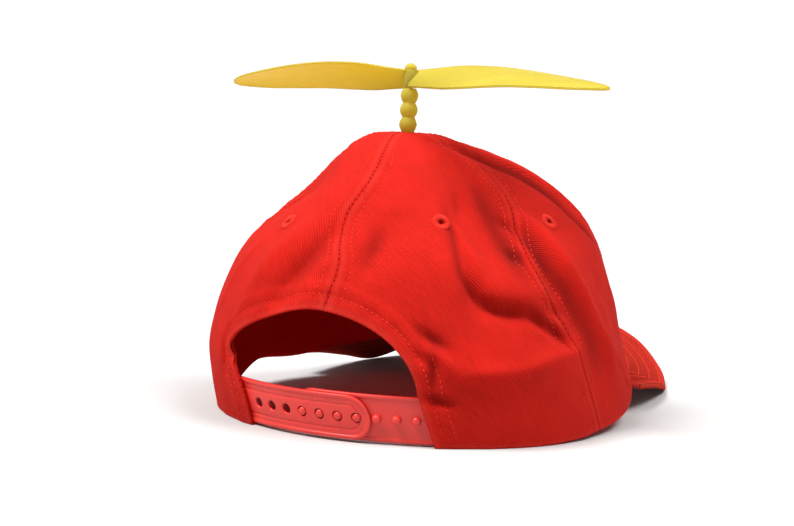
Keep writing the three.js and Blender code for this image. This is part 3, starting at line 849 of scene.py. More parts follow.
def add_node(tree, kind, inputs=None, stops=(), **settings):
    """Adds a shader node with its settings, values, links and colour stops."""
    node = tree.nodes.new(kind)
    for key, value in settings.items():
        setattr(node, key, value)
    for key, value in (inputs or {}).items():
        if isinstance(value, bpy.types.NodeSocket):
            tree.links.new(value, node.inputs[key])
        else:
            node.inputs[key].default_value = value
    for k, (position, colour) in enumerate(stops):
        node.color_ramp.elements[k].position = position
        node.color_ramp.elements[k].color = colour
    return node


def new_material(name):
    """An empty node material and its tree."""
    material = bpy.data.materials.new(name)
    material.use_nodes = True
    material.node_tree.nodes.clear()
    return material, material.node_tree


def finish_material(tree, seen_through=None, **inputs):
    """Ends a material in one principled shader, mixed with a share of coloured light from behind."""
    sockets = {key.replace("_", " "): value for key, value in inputs.items()}
    shader = add_node(tree, "ShaderNodeBsdfPrincipled", sockets)
    if seen_through:
        share, colour = seen_through
        glow = add_node(tree, "ShaderNodeBsdfTranslucent", {"Color": rgba(colour)})
        shader = add_node(tree, "ShaderNodeMixShader", {0: share, 1: shader.outputs[0], 2: glow.outputs[0]})
    add_node(tree, "ShaderNodeOutputMaterial", {"Surface": shader.outputs[0]})


def rgba(colour, factor=1.0):
    return tuple(min(1, c * factor) for c in colour[:3]) + (1.0,)


def wave_scale(period):
    """Scale of a wave texture whose bands repeat once in a period."""
    return 2 * math.pi / (20 * period)


def cotton_twill(name, colour, cloth, shine=0.0, seen_through=None):
    """Woven cotton twill: steep diagonal ribs of yarn, matt and a little fuzzy.

    It is paler where the dye has rubbed, and darkened in the hollows of its folds by painted shade.
    """
    material, tree = new_material(name)
    grain = add_node(tree, "ShaderNodeUVMap", uv_map="grain").outputs[0]
    slanted = add_node(tree, "ShaderNodeMapping", {
        "Vector": grain, "Rotation": (0, 0, cloth.twill_slope - math.pi / 2)}).outputs[0]
    ribs = add_node(tree, "ShaderNodeTexWave", {
        "Vector": slanted, "Scale": wave_scale(cloth.twill_pitch / MM), "Distortion": 1.2, "Detail": 2.0,
        "Detail Scale": 0.6}, bands_direction="X").outputs["Fac"]
    # Real yarns cross the ribs about 0.4 mm apart, drawn coarser here to show
    yarn_pitch = 0.7
    floats = add_node(tree, "ShaderNodeTexWave", {
        "Vector": grain, "Scale": wave_scale(yarn_pitch), "Distortion": 2.0, "Detail": 2.0,
        "Detail Scale": 0.8}, bands_direction="Y").outputs["Fac"]
    weave = add_node(
        tree, "ShaderNodeMath", {0: floats, 1: 0.25, 2: ribs}, operation="MULTIPLY_ADD").outputs[0]
    # Thick places in the yarn, about 1 mm wide and 8 mm long
    stretched = add_node(tree, "ShaderNodeMapping", {"Vector": slanted, "Scale": (0.9, 0.12, 1)}).outputs[0]
    slubs = add_node(tree, "ShaderNodeTexNoise", {
        "Vector": stretched, "Scale": 1.0, "Detail": 3.0, "Roughness": 0.6}).outputs["Fac"]
    cloud = 22
    mottle = add_node(tree, "ShaderNodeTexNoise", {
        "Vector": grain, "Scale": 1 / cloud, "Detail": 4.0, "Roughness": 0.55}).outputs["Fac"]
    ribbed = add_node(tree, "ShaderNodeValToRGB", {"Fac": weave}, stops=(
        (0, rgba(colour, 0.66)), (0.95, rgba(colour, 1.12)))).outputs["Color"]
    # The attribute holds rubbed paleness above 0 and painted shade in the fold hollows below 0
    rubbed = add_node(tree, "ShaderNodeAttribute", attribute_name="wear_and_painted_shade").outputs["Fac"]
    yarn = add_node(tree, "ShaderNodeMapRange", {
        "Value": slubs, 1: 0.3, 2: 0.7, 3: 0.88, 4: 1.1}).outputs[0]
    cloudy = add_node(tree, "ShaderNodeMapRange", {
        "Value": mottle, 1: 0.3, 2: 0.7, 3: 0.92, 4: 1.07}).outputs[0]
    # Painted shade: the colour falls to 0.35 of itself at the bottom of a fold's hollow
    painted_fold_shade = add_node(tree, "ShaderNodeMapRange", {
        "Value": rubbed, 1: -1.0, 2: 0.0, 3: 0.35, 4: 1.0}).outputs[0]
    shade = add_node(tree, "ShaderNodeMath", {0: yarn, 1: cloudy}, operation="MULTIPLY").outputs[0]
    shade = add_node(tree, "ShaderNodeMath", {0: shade, 1: painted_fold_shade}, operation="MULTIPLY").outputs[0]
    dyed = add_node(tree, "ShaderNodeVectorMath", {
        0: ribbed, "Scale": shade}, operation="SCALE").outputs[0]
    pale = add_node(tree, "ShaderNodeMath", {0: rubbed, 1: 0.4}, operation="MULTIPLY").outputs[0]
    worn = add_node(tree, "ShaderNodeMix", {
        "Factor": pale, 6: dyed, 7: rgba(linear("#D4443A"))}, data_type="RGBA").outputs[2]
    bump = add_node(tree, "ShaderNodeBump", {
        "Height": weave, "Strength": 0.8, "Distance": 0.22 * MM}).outputs[0]
    fuzz = add_node(tree, "ShaderNodeBump", {
        "Height": slubs, "Strength": 0.4, "Distance": 0.25 * MM, "Normal": bump}).outputs[0]
    finish_material(
        tree, Base_Color=worn, Roughness=0.88, IOR=1.47, Specular_IOR_Level=shine, Sheen_Weight=0.03,
        Sheen_Roughness=0.45, Sheen_Tint=rgba(linear("#FF8A7A")), Normal=fuzz, seen_through=seen_through)
    return material


def sewing_thread(name, colour):
    """Twisted polyester sewing thread: two plies that wind round each other with a soft shine."""
    material, tree = new_material(name)
    # Real plies cross about 0.3 mm apart, drawn coarser here to show
    ply_pitch = 0.45
    grain = add_node(tree, "ShaderNodeUVMap", uv_map="grain").outputs[0]
    slanted = add_node(tree, "ShaderNodeMapping", {
        "Vector": grain, "Rotation": (0, 0, math.radians(35))}).outputs[0]
    plies = add_node(tree, "ShaderNodeTexWave", {
        "Vector": slanted, "Scale": wave_scale(ply_pitch), "Distortion": 0.4},
        bands_direction="X").outputs["Fac"]
    shade = add_node(tree, "ShaderNodeValToRGB", {"Fac": plies}, stops=(
        (0, rgba(colour, 0.75)), (1, rgba(colour, 1.15)))).outputs["Color"]
    bump = add_node(tree, "ShaderNodeBump", {
        "Height": plies, "Strength": 0.7, "Distance": 0.1 * MM}).outputs[0]
    finish_material(
        tree, Base_Color=shade, Roughness=0.85, IOR=1.5, Specular_IOR_Level=0.1, Normal=bump)
    return material


def moulded_polyethylene(name, colour):
    """Injection-moulded polyethylene: waxy, a little see-through, with a fine eroded grain and scuffs."""
    material, tree = new_material(name)
    grit, scuff = 0.5 * MM, 7 * MM
    place = add_node(tree, "ShaderNodeTexCoord").outputs["Object"]
    grain = add_node(tree, "ShaderNodeTexNoise", {
        "Vector": place, "Scale": 1 / grit, "Detail": 2.0}).outputs["Fac"]
    scuffs = add_node(tree, "ShaderNodeTexNoise", {
        "Vector": place, "Scale": 1 / scuff, "Detail": 5.0}).outputs["Fac"]
    tone = add_node(tree, "ShaderNodeValToRGB", {"Fac": scuffs}, stops=(
        (0.3, rgba(colour, 0.9)), (0.75, rgba(colour, 1.08)))).outputs["Color"]
    gloss = add_node(tree, "ShaderNodeMapRange", {
        "Value": scuffs, 1: 0.3, 2: 0.7, 3: 0.34, 4: 0.5}).outputs[0]
    bump = add_node(tree, "ShaderNodeBump", {
        "Height": grain, "Strength": 0.12, "Distance": 0.05 * MM}).outputs[0]
    finish_material(
        tree, Base_Color=tone, Roughness=gloss, IOR=1.51, Subsurface_Weight=0.15,
        Subsurface_Radius=(1.0, 0.25, 0.2), Subsurface_Scale=1.2 * MM, Normal=bump)
    return material


def moulded_polystyrene(name, colour):
    """Moulded polystyrene: bright and glossy, a little see-through at thin edges, with faint flow lines."""
    material, tree = new_material(name)
    flow_width = 9 * MM
    place = add_node(tree, "ShaderNodeTexCoord").outputs["Object"]
    drawn = add_node(tree, "ShaderNodeMapping", {"Vector": place, "Scale": (0.25, 1, 1)}).outputs[0]
    flow = add_node(tree, "ShaderNodeTexNoise", {
        "Vector": drawn, "Scale": 1 / flow_width, "Detail": 3.0}).outputs["Fac"]
    tone = add_node(tree, "ShaderNodeValToRGB", {"Fac": flow}, stops=(
        (0.3, rgba(colour, 0.92)), (0.7, rgba(colour, 1.06)))).outputs["Color"]
    gloss = add_node(tree, "ShaderNodeMapRange", {
        "Value": flow, 1: 0.3, 2: 0.7, 3: 0.22, 4: 0.32}).outputs[0]
    bump = add_node(tree, "ShaderNodeBump", {
        "Height": flow, "Strength": 0.04, "Distance": 0.1 * MM}).outputs[0]
    finish_material(
        tree, Base_Color=tone, Roughness=gloss, IOR=1.49, Specular_IOR_Level=0.03,
        Subsurface_Weight=0.25, Subsurface_Radius=(1.0, 0.7, 0.12), Subsurface_Scale=2 * MM, Normal=bump,
        seen_through=(0.45, linear("#F8DC2E")))
    return material


def cap_material(name, make, *settings):
    """The material of that name, made on first use."""
    return bpy.data.materials.get(name) or make(name, *settings)


def loose_twill(cloth):
    """Twill of the panels and the sweatband, which lets some light through."""
    glow = (CLOTH_GLOW, cloth.glow_colour)
    return cap_material("cotton_twill", cotton_twill, cloth.twill_colour, cloth, CLOTH_SHINE, glow)


def outer_thread(cloth):
    """Thread of the rows of stitches and the eyelets."""
    return cap_material("sewing_thread", sewing_thread, cloth.thread_colour)


def crowded(even):
    """Even fractions from 0 to 1, moved closer together at both ends."""
    crowding = 0.6
    return even - crowding * np.sin(2 * math.pi * even) / (2 * math.pi)


def back_panel_grid(side, columns, rows):
    """Azimuths and places of a back panel, stretched between its lower edge, the two seams and the top."""
    offset = 0 if side > 0 else -2 * math.pi
    side_name = "side_right" if side > 0 else "side_left"

    def side_seam(t):
        return seam_azimuth(side_name, t) + offset

    def back_seam(t):
        return seam_azimuth("back", t)

    crest = float(back_seam(place_of(ARCH_CREST)))
    u, v = unit_grid(columns, rows)
    u = crowded(u)
    q = u if side > 0 else 1 - u
    low, low_t = back_lower_edge(side, side_seam, q, crest)
    t = low_t + (1 - low_t) * v
    shoulder = math.radians(ARCH_CENTRE + side * (ARCH_SIDES[side][0] + ARCH_LEAN))
    above = np.interp(q, [0, ARCH_SHARE, 1], [crest, shoulder, float(side_seam(0))])
    # Columns swing over to their upper course soon above the lower edge
    swing = 1 - (1 - v) ** 5

    def column(start, middle, end):
        return start + swing * (middle - start + (end - middle) * v)

    azimuth = column(low, above, (1 - q) * back_seam(1) + q * side_seam(1))
    for end, seam, share in ((0.0, back_seam, 1 - q), (1.0, side_seam, q)):
        end_low, end_t = back_lower_edge(side, side_seam, np.array(end), crest)
        azimuth = azimuth + share * (seam(end_t + (1 - end_t) * v) - column(end_low, end_low, seam(1)))
    return azimuth, t


def side_panel_grid(first, last, columns, rows):
    """Azimuths and places of a side or front panel between two seams."""
    u, t = unit_grid(columns, rows)
    start = seam_azimuth(first, t)
    return start + (seam_azimuth(last, t) - start) * crowded(u), t


def cut_holes(points, faces, centre, radius):
    """Faces without those round a centre."""
    middles = points[np.asarray(faces)].mean(axis=1)
    return np.asarray(faces)[np.linalg.norm(middles - centre, axis=1) > radius]


def eyelet_place(name):
    azimuth, height = EYELETS[name]
    return np.array(math.radians(azimuth)), place_of(height)


class CAP_OT_panels(bpy.types.Operator):
    """Sews the six twill panels of the crown"""
    bl_idname = "cap.panels"
    bl_label = "Crown Panels"

    def execute(self, context):
        cloth = context.scene.cap_cloth
        twill = loose_twill(cloth)
        thickness = cloth.thickness / MM
        for node, (first, last) in PANELS.items():
            if "back" in (first, last):
                azimuth, t = back_panel_grid(1 if first == "back" else -1, *BACK_GRID)
            else:
                azimuth, t = side_panel_grid(first, last, *SIDE_GRID)
            outer = crown_surface(azimuth, t, 0, cloth)
            inner = crown_surface(azimuth, t, thickness, cloth)
            middle = (azimuth.min() + azimuth.max()) / 2
            spine = smooth_crown(middle, PLACES)
            rise = np.concatenate([[0], np.cumsum(np.linalg.norm(np.diff(spine, axis=0), axis=1))])
            uv = np.stack([section("side", t) * (azimuth - middle), np.interp(t, PLACES, rise)], axis=-1)
            points, faces, uv = rolled_wall(outer, inner, uv, PANEL_ROLL)
            eyelet = eyelet_place(node.replace("panel", "eyelet"))
            hole = crown_surface(*eyelet, thickness / 2, cloth, fine=False)
            faces = cut_holes(points, faces, hole, EYELET_CUT)
            # Rubbed paleness, and painted shade in the hollows of the folds
            wear_and_painted_shade = np.zeros(len(points))
            wear_and_painted_shade[:t.size] = cloth_wear_and_painted_shade(azimuth, t).ravel()
            name = node.replace("panel", "cloth")
            piece = add_piece(name, points, faces, twill, nodes=(node,), uv=uv, wear_and_painted_shade=wear_and_painted_shade)
        return {"FINISHED"}


class CAP_OT_eyelets(bpy.types.Operator):
    """Binds the six eyelets with thread"""
    bl_idname = "cap.eyelets"
    bl_label = "Eyelets"

    def execute(self, context):
        cloth = context.scene.cap_cloth
        thread = outer_thread(cloth)
        thickness = cloth.thickness / MM
        around, across = 160, 14
        i, j = np.meshgrid(np.arange(around), np.arange(across), indexing="ij")
        a, b = 2 * math.pi * i / around, 2 * math.pi * j / across
        strand = 1 + 0.2 * np.cos(EYELET_TURNS * a)
        reach = EYELET_RING + EYELET_HALF_WIDTH * strand * np.cos(b)
        height = EYELET_HALF_HEIGHT * strand * np.sin(b)
        ring = np.stack([reach * np.cos(a), reach * np.sin(a), height], axis=-1).reshape(-1, 3)
        steps = ((0, 0), (1, 0), (1, 1), (0, 1))
        corners = [(i + di) % around * across + (j + dj) % across for di, dj in steps]
        faces = np.stack(corners, axis=-1).reshape(-1, 4)
        uv = np.stack([EYELET_HALF_WIDTH * b, EYELET_RING * a], axis=-1).reshape(-1, 2)
        for node in EYELETS:
            azimuth, t = eyelet_place(node)
            outside = crown_surface(azimuth, t, 0, cloth, fine=False)
            inside = crown_surface(azimuth, t, thickness, cloth, fine=False)
            out = unit(outside - inside)
            points = turned(ring, out, (outside + inside) / 2 + EYELET_STAND * out)
            name = node.replace("eyelet", "bound_eyelet")
            add_piece(name, points, faces, thread, nodes=(node,), uv=uv)
        return {"FINISHED"}


class CAP_OT_stitching(bpy.types.Operator):
    """Runs the topstitching along the seams, the back opening and the jambs"""
    bl_idname = "cap.stitching"
    bl_label = "Stitching"

    def execute(self, context):
        cloth = context.scene.cap_cloth
        samples = 320
        offset = cloth.seam_to_stitch / MM
        hem_row = cloth.hem_to_stitch / MM
        rows = []
        for name in SEAMS:
            start = place_of(ARCH_CREST + STITCH_ABOVE_ARCH) if name == "back" else STITCH_START
            t = np.linspace(start, STITCH_END, samples)
            for side in (-1, 1):
                aside = side * offset * row_spread(t) / section("side", t)
                rows.append((seam_azimuth(name, t) + aside, t))
        for side in (-1, 1):
            edge = flattened(*arch_edge(side))
            along = unit(np.gradient(edge, axis=0))
            aside = np.stack([along[:, 1], -along[:, 0]], axis=-1) * -side
            above_rim = edge[:, 1] > HEM_STITCH_LOW
            beside_jamb = above_rim & (edge[:, 1] < JAMB_STITCH_HIGH)
            for distance, keep in ((hem_row, above_rim), (2 * hem_row, beside_jamb)):
                path = (edge + aside * distance)[keep]
                rows.append((path[:, 0] / HEM_RADIUS, path[:, 1] / CLOTH_LENGTH))
        stitches = [sewn_on_crown(azimuth, t, cloth) for azimuth, t in rows]
        add_stitches("crown_stitching", stitches, outer_thread(cloth))
        # Painted shade: the thread down in the seams is coloured dark like the shade of their ditch
        shaded = cap_material("sewing_thread_in_seam", sewing_thread, cloth.seam_thread_painted_shade_colour)
        ladders = []
        for name in SEAMS:
            low, high = place_of(SEAM_GAPES)
            if name == "back":
                low, high = place_of(ARCH_CREST + THREAD_ABOVE_ARCH), STITCH_END
            t = np.linspace(low, high, samples)
            ladders.append(sewn_on_crown(seam_azimuth(name, t), t, cloth, SEAM_STITCH_SHARE))
        add_stitches("seam_stitching", ladders, shaded)
        return {"FINISHED"}


def peak_surface(u, v, lift):
    """Points of the peak: u from its right joint to its left one, v from the outer edge to the rim."""
    mirrored = PEAK_EDGE[1:] * np.array([-1, 1, 1])
    edge = np.concatenate([PEAK_EDGE[::-1], mirrored])
    place = u * (len(edge) - 1)
    outer = np.stack([spline(edge[:, k], place) for k in range(3)], axis=-1)
    outer[..., 0] += PEAK_CENTRE
    azimuth = math.pi + np.radians(PEAK_HALF_ANGLE * (2 * u - 1))
    inner = smooth_crown(azimuth, place_of(PEAK_THICKNESS))
    inner[..., 0] -= PEAK_TUCK * np.sin(azimuth)
    inner[..., 1] += PEAK_TUCK * np.cos(azimuth)
    inner[..., 2] = rim_lift(azimuth) + PEAK_THICKNESS / 2 + PEAK_RISE
    points = outer + (inner - outer) * v[..., None]
    points[..., 2] += lift
    return points


class CAP_OT_peak(bpy.types.Operator):
    """Covers the peak with twill and runs rows of stitching along it"""
    bl_idname = "cap.peak"
    bl_label = "Peak"

    def execute(self, context):
        cloth = context.scene.cap_cloth
        # The peak's twill is a darker copy of the crown's, as painted shade
        twill = cap_material("cotton_twill_on_board", cotton_twill, cloth.peak_painted_shade_colour, cloth)
        u, v = unit_grid(*PEAK_GRID)
        middle = peak_surface(u, v, 0)
        width = np.linalg.norm(middle[:, -1] - middle[:, 0], axis=1)[:, None]
        from_edge = v * width
        half = PEAK_THICKNESS / 2
        row_places = [(k + PEAK_FIRST_ROW) * cloth.peak_row_pitch / MM for k in range(cloth.peak_rows)]
        grooves = sum(groove(from_edge - place, *PEAK_GROOVE) for place in row_places)
        top = peak_surface(u, v, half - grooves)
        under = peak_surface(u, v, -half + grooves)
        steps = np.linalg.norm(np.diff(middle[:, -1], axis=0, prepend=middle[:1, -1]), axis=1)
        arc = np.cumsum(steps)[:, None]
        uv = np.stack(np.broadcast_arrays(arc - arc[-1] / 2, from_edge), axis=-1)
        points, faces, uv = rolled_wall(top, under, uv, PEAK_ROLL)
        wear_and_painted_shade = np.full(len(points), PEAK_EDGE_PALE)
        wear_and_painted_shade[:2 * u.size] = np.tile(groove(from_edge, PEAK_RUB).ravel(), 2)
        add_piece("peak_cloth", points, faces, twill, nodes=("peak",), uv=uv, wear_and_painted_shade=wear_and_painted_shade)
        stitches = []
        margin, samples, joint_room, inward_step = 0.002, 600, 2, 0.02
        ends = np.linspace(margin, 1 - margin, samples)
        joint_width = np.interp(ends, u[:, 0], width[:, 0])
        sunk = half - PEAK_GROOVE[1]
        for place in row_places:
            keep = joint_width > place + joint_room
            along, share = ends[keep], (place / joint_width)[keep]
            for up in (1, -1):
                path = peak_surface(along, share, up * sunk)
                ahead = np.gradient(path, axis=0)
                inward = peak_surface(along, share + inward_step, up * sunk) - path
                normals = unit(np.cross(ahead, inward))
                normals *= up * np.sign(normals[:, 2:])
                stitches.append(stitch_row(path, normals, cloth))
        add_stitches("peak_stitching", stitches, outer_thread(cloth))
        return {"FINISHED"}


class CAP_OT_sweatband(bpy.types.Operator):
    """Lays the sweatband inside the rim"""
    bl_idname = "cap.sweatband"
    bl_label = "Sweatband"

    def execute(self, context):
        cloth = context.scene.cap_cloth
        u, v = unit_grid(*BAND_GRID)
        azimuth = np.radians(BAND_SPAN[0] + (BAND_SPAN[1] - BAND_SPAN[0]) * u)
        height = BAND_HEIGHTS[0] + (BAND_HEIGHTS[1] - BAND_HEIGHTS[0]) * v
        depth = BAND_DEPTH + cloth_noise(azimuth, place_of(height), *BAND_SAG) * v
        outer = unfolded_surface(azimuth, height, depth)
        inner = unfolded_surface(azimuth, height, depth + BAND_THICKNESS)
        uv = np.stack([STRAP_RADIUS * azimuth, height], axis=-1)
        points, faces, uv = rolled_wall(outer, inner, uv, BAND_ROLL)
        twill = loose_twill(cloth)
        piece = add_piece("sweatband_cloth", points, faces, twill, nodes=("sweatband",), uv=uv)
        return {"FINISHED"}


def rounding(distance, width, depth):
    """How far a face falls towards a rounded edge."""
    near = np.clip(1 - distance / width, 0, 1)
    return depth * (1 - np.sqrt(1 - near ** 2))


def strap_relief(distance):
    """Moulded relief of a strap's face by its distance from the edge: a raised rim and a rounded edge."""
    return lap(distance, *STRAP_RIM) - rounding(distance, *STRAP_ROUNDING)


def slab(faces, outer, inner):
    """Closes a sheet of quads into a slab: its outer face, its inner face and the walls between them."""
    count = len(outer)
    edges = {(int(a), int(b)) for face in faces for a, b in zip(face, np.roll(face, -1))}
    walls = [(a, count + a, count + b, b) for a, b in sorted(edges) if (b, a) not in edges]
    return np.concatenate([outer, inner]), np.concatenate([faces, faces[:, ::-1] + count, np.array(walls)])


def strap_sheet(holes, radius, half, start, end):
    """Flat strap as (along, height) pairs in quads: rings round the holes, then rows along the outline."""
    band = half - STRAP_ROWS[0]
    depths = STRAP_ROWS[0] - STRAP_ROWS
    reach = (holes[1] - holes[0]) / 2
    # Faces along each side of a hole's square field
    n = 12
    upright = np.linspace(-band, band, n + 1)
    turn = np.linspace(-math.pi / 2, math.pi / 2, 4 * n + 1)
    grids = []
    for hole in holes:
        last = hole == holes[-1]
        low, high = hole - reach, end - half if last else hole + reach
        level = np.linspace(low, high, n + 1)
        bottom = np.stack([level, 0 * level - band], 1)
        right = np.stack([0 * upright + high, upright], 1)
        top = np.stack([level[::-1], 0 * level + band], 1)
        left = np.stack([0 * upright + low, upright[::-1]], 1)
        chains = [bottom, top]
        if last:
            right = np.stack([high + band * np.cos(turn), band * np.sin(turn)], 1)
            chains = [np.concatenate([bottom[:-1], right, top[1:]])]
        edge = np.concatenate([bottom[:-1], right[:-1], top[:-1], left])
        angle = np.arctan2(edge[:, 1], edge[:, 0] - hole)
        wall = np.stack([hole + radius * np.cos(angle), radius * np.sin(angle)], 1)
        grids.append(wall[:, None] + (edge - wall)[:, None] * HOLE_ROWS[:, None])
        for chain in chains:
            out = unit(np.stack([np.maximum(chain[:, 0] - high, 0), chain[:, 1]], 1))
            grids.append(chain[:, None] + out[:, None] * depths[:, None])
    heights = np.concatenate([-band - depths[:0:-1], upright, band + depths[1:]])
    tail = np.meshgrid(np.linspace(start, holes[0] - reach, 2 * n), heights[::-1], indexing="ij")
    grids.append(np.stack(tail, -1))
    points, faces = joined([(grid.reshape(-1, 2), grid_quads(0, *grid.shape[:2], False)) for grid in grids])
    points, first = np.unique(np.round(points, 6), axis=0, return_inverse=True)
    return points, first.reshape(-1)[np.array(faces)]


class CAP_OT_strap(bpy.types.Operator):
    """Moulds the two halves of the snap strap"""
    bl_idname = "cap.strap"
    bl_label = "Snap Strap"

    def execute(self, context):
        plastic = context.scene.cap_plastic
        polyethylene = cap_material("moulded_polyethylene", moulded_polyethylene, plastic.strap_colour)
        self.holed_half(plastic, polyethylene)
        self.studded_half(plastic, polyethylene)
        return {"FINISHED"}

    def holed_half(self, plastic, polyethylene):
        """The outer half: a band of holes between two ridges, and a round free end."""
        radius = plastic.hole_radius / MM
        holes = STRAP_ARC * (FIRST_HOLE + STUD_PITCH * np.arange(STUD_COUNT))
        end = STRAP_ARC * HOLED_END
        flat, faces = strap_sheet(holes, radius, HOLED_HALF, -STRAP_HIDDEN_END * STRAP_ARC, end)
        along, height = flat.T
        distance = HOLED_HALF - np.hypot(np.maximum(along - (end - HOLED_HALF), 0), height)
        from_hole = np.hypot(along[:, None] - holes, height[:, None]).min(axis=1) - radius
        relief = strap_relief(distance) - groove(distance - STRAP_LINE_PLACE, *STRAP_LINE)
        relief -= rounding(from_hole, *HOLE_ROUNDING)
        outer, inner = self.both_faces(plastic, along, height, HOLED_DEPTH, relief)
        points, faces = slab(faces, outer, inner)
        add_piece("strap_outer", points, faces, polyethylene, nodes=("strap_holed",))

    def studded_half(self, plastic, polyethylene):
        """The inner half: a raised rim and a row of domed studs."""
        u, v = unit_grid(*STUDDED_GRID)
        turn = math.pi * (v - 0.5)
        height = STUDDED_HALF * np.sin(turn)
        end = STRAP_ARC * STUDDED_END
        free = end + STUDDED_HALF * (1 - np.cos(turn))
        along = free + (STRAP_ARC * STRAP_HIDDEN_END - free) * u
        distance = STUDDED_HALF - np.hypot(np.maximum(end + STUDDED_HALF - along, 0), height)
        relief = strap_relief(distance)
        outer, inner = self.both_faces(plastic, along, height, STUDDED_DEPTH, relief)
        parts = [rolled_wall(outer, inner, np.zeros(u.shape + (2,)), (0, 0, 0, 0))[:2]]
        radius = plastic.stud_radius / MM
        tall = plastic.stud_length / MM
        profile = [(0, -0.4), (radius + 0.35, -0.2), (radius + 0.1, 0.15), (radius, 0.5)]
        for a in np.radians([0, 20, 40, 60, 75]):
            profile.append((radius * math.cos(a), tall - STUD_DOME + STUD_DOME * math.sin(a)))
        stud, stud_faces = lathe(profile + [(0, tall)], STUD_SIDES)
        for k in range(STUD_COUNT):
            azimuth = np.array(math.radians(FIRST_STUD + k * STUD_PITCH))
            foot = unfolded_surface(azimuth, STRAP_MIDDLE, STUDDED_DEPTH)
            up = crown_normal(azimuth, place_of(STRAP_MIDDLE))
            parts.append((turned(stud, up, foot), stud_faces))
        points, faces = joined(parts)
        add_piece("strap_inner", points, faces, polyethylene, nodes=("strap_studded",))

    def both_faces(self, plastic, along, height, depth, relief):
        """Outer and inner face of a half at a depth behind the crown."""
        place = along / STRAP_RADIUS, STRAP_MIDDLE + height
        thickness = plastic.strap_thickness / MM
        return unfolded_surface(*place, depth - relief), unfolded_surface(*place, depth + thickness)


def topping_matrix():
    """From the stalk's own axes to the cap's."""
    place = Matrix.Translation((SUMMIT[1], SUMMIT[2], CROWN_TOP))
    return np.array(place @ Matrix.Rotation(-math.radians(STALK_LEAN), 4, "X"))


def moved(points, matrix):
    return np.asarray(points) @ matrix[:3, :3].T + matrix[:3, 3]


class CAP_OT_stalk(bpy.types.Operator):
    """Turns the beaded stalk and its pin"""
    bl_idname = "cap.stalk"
    bl_label = "Stalk"

    def execute(self, context):
        plastic = context.scene.cap_plastic
        polystyrene = cap_material("moulded_polystyrene", moulded_polystyrene, plastic.propeller_colour)
        bead = plastic.bead_radius / MM
        neck = plastic.neck_radius / MM
        under, over = PLATE_HEIGHTS
        profile = [(0, under), (PLATE_RADIUS, under), (PLATE_RADIUS, over)]
        profile += [(SHANK_RADIUS, over), (SHANK_RADIUS, BEAD_BASE)]
        for k in range(BEAD_COUNT):
            middle = BEAD_BASE + (k + 0.5) * BEAD_PITCH
            for s in np.linspace(-0.995, 0.995, BEAD_RINGS):
                radius = neck + (bead - neck) * math.cos(math.pi / 2 * s)
                profile.append((radius, middle + s * BEAD_PITCH / 2))
        top = BEAD_BASE + BEAD_COUNT * BEAD_PITCH
        head = HUB_CENTRE + HUB_HEIGHT / 2 + PIN_GAP
        dome = head + PIN_HEAD_EDGE
        profile += [(COLLAR_RADIUS, top), (PIN_RADIUS, top), (PIN_RADIUS, head)]
        profile += [(PIN_HEAD_RADIUS - 0.25, head), (PIN_HEAD_RADIUS, dome)]
        for a in np.radians([20, 40, 60, 75, 85]):
            profile.append((PIN_HEAD_RADIUS * math.cos(a), dome + PIN_HEAD_DOME * math.sin(a)))
        profile.append((0, dome + PIN_HEAD_DOME))
        points, faces = lathe(profile, TURNED_SIDES)
        points = moved(points, topping_matrix())
        add_piece("beaded_stalk", points, faces, polystyrene, nodes=("stalk",))
        return {"FINISHED"}


class CAP_OT_propeller(bpy.types.Operator):
    """Moulds the propeller on its hub"""
    bl_idname = "cap.propeller"
    bl_label = "Propeller"

    def execute(self, context):
        plastic = context.scene.cap_plastic
        polystyrene = cap_material("moulded_polystyrene", moulded_polystyrene, plastic.propeller_colour)
        radius = plastic.hub_radius / MM
        half = HUB_HEIGHT / 2
        profile = [(0, -half), (radius - 0.3, -half), (radius, 0.3 - half), (radius, half - 0.6)]
        profile += [(radius - 0.2, half - 0.15), (radius - 0.6, half), (HUB_BORE, half), (0, half)]
        parts = [lathe(profile, TURNED_SIDES)]
        for turn in (0, math.pi):
            points, faces = self.blade(plastic)
            spin = np.array(Matrix.Rotation(turn, 4, "Z"))
            parts.append((moved(points, spin), faces))
        points, faces = joined(parts)
        seat = Matrix.Translation((0, 0, HUB_CENTRE))
        tilt = Matrix.Rotation(-math.radians(PROPELLER_TILT), 4, "Y")
        heading = Matrix.Rotation(math.radians(PROPELLER_HEADING), 4, "Z")
        matrix = topping_matrix() @ np.array(seat @ tilt @ heading)
        add_piece("propeller_blades", moved(points, matrix), faces, polystyrene,
                  body="propeller", nodes=("propeller",))
        return {"FINISHED"}

    def blade(self, plastic):
        """One cambered, twisted blade along +X. Its edge towards -Y is the low one."""
        u, v = unit_grid(*BLADE_GRID)
        radius, chord, pitch, rise = (spline(BLADE[:, k], u * (len(BLADE) - 1)) for k in range(4))
        pitch = np.radians(pitch)
        across = -np.cos(math.pi * v)
        reach = across * chord / 2
        thick = plastic.blade_thickness / MM * (1 - 0.5 * across ** 2)
        bow = plastic.blade_camber * chord * (1 - across ** 2)

        def face(side):
            lift = bow + side * thick / 2
            return np.stack([
                radius,
                reach * np.cos(pitch) - lift * np.sin(pitch),
                rise + reach * np.sin(pitch) + lift * np.cos(pitch),
            ], axis=-1)

        return rolled_wall(face(1), face(-1), np.zeros(u.shape + (2,)), BLADE_ROLL)[:2]


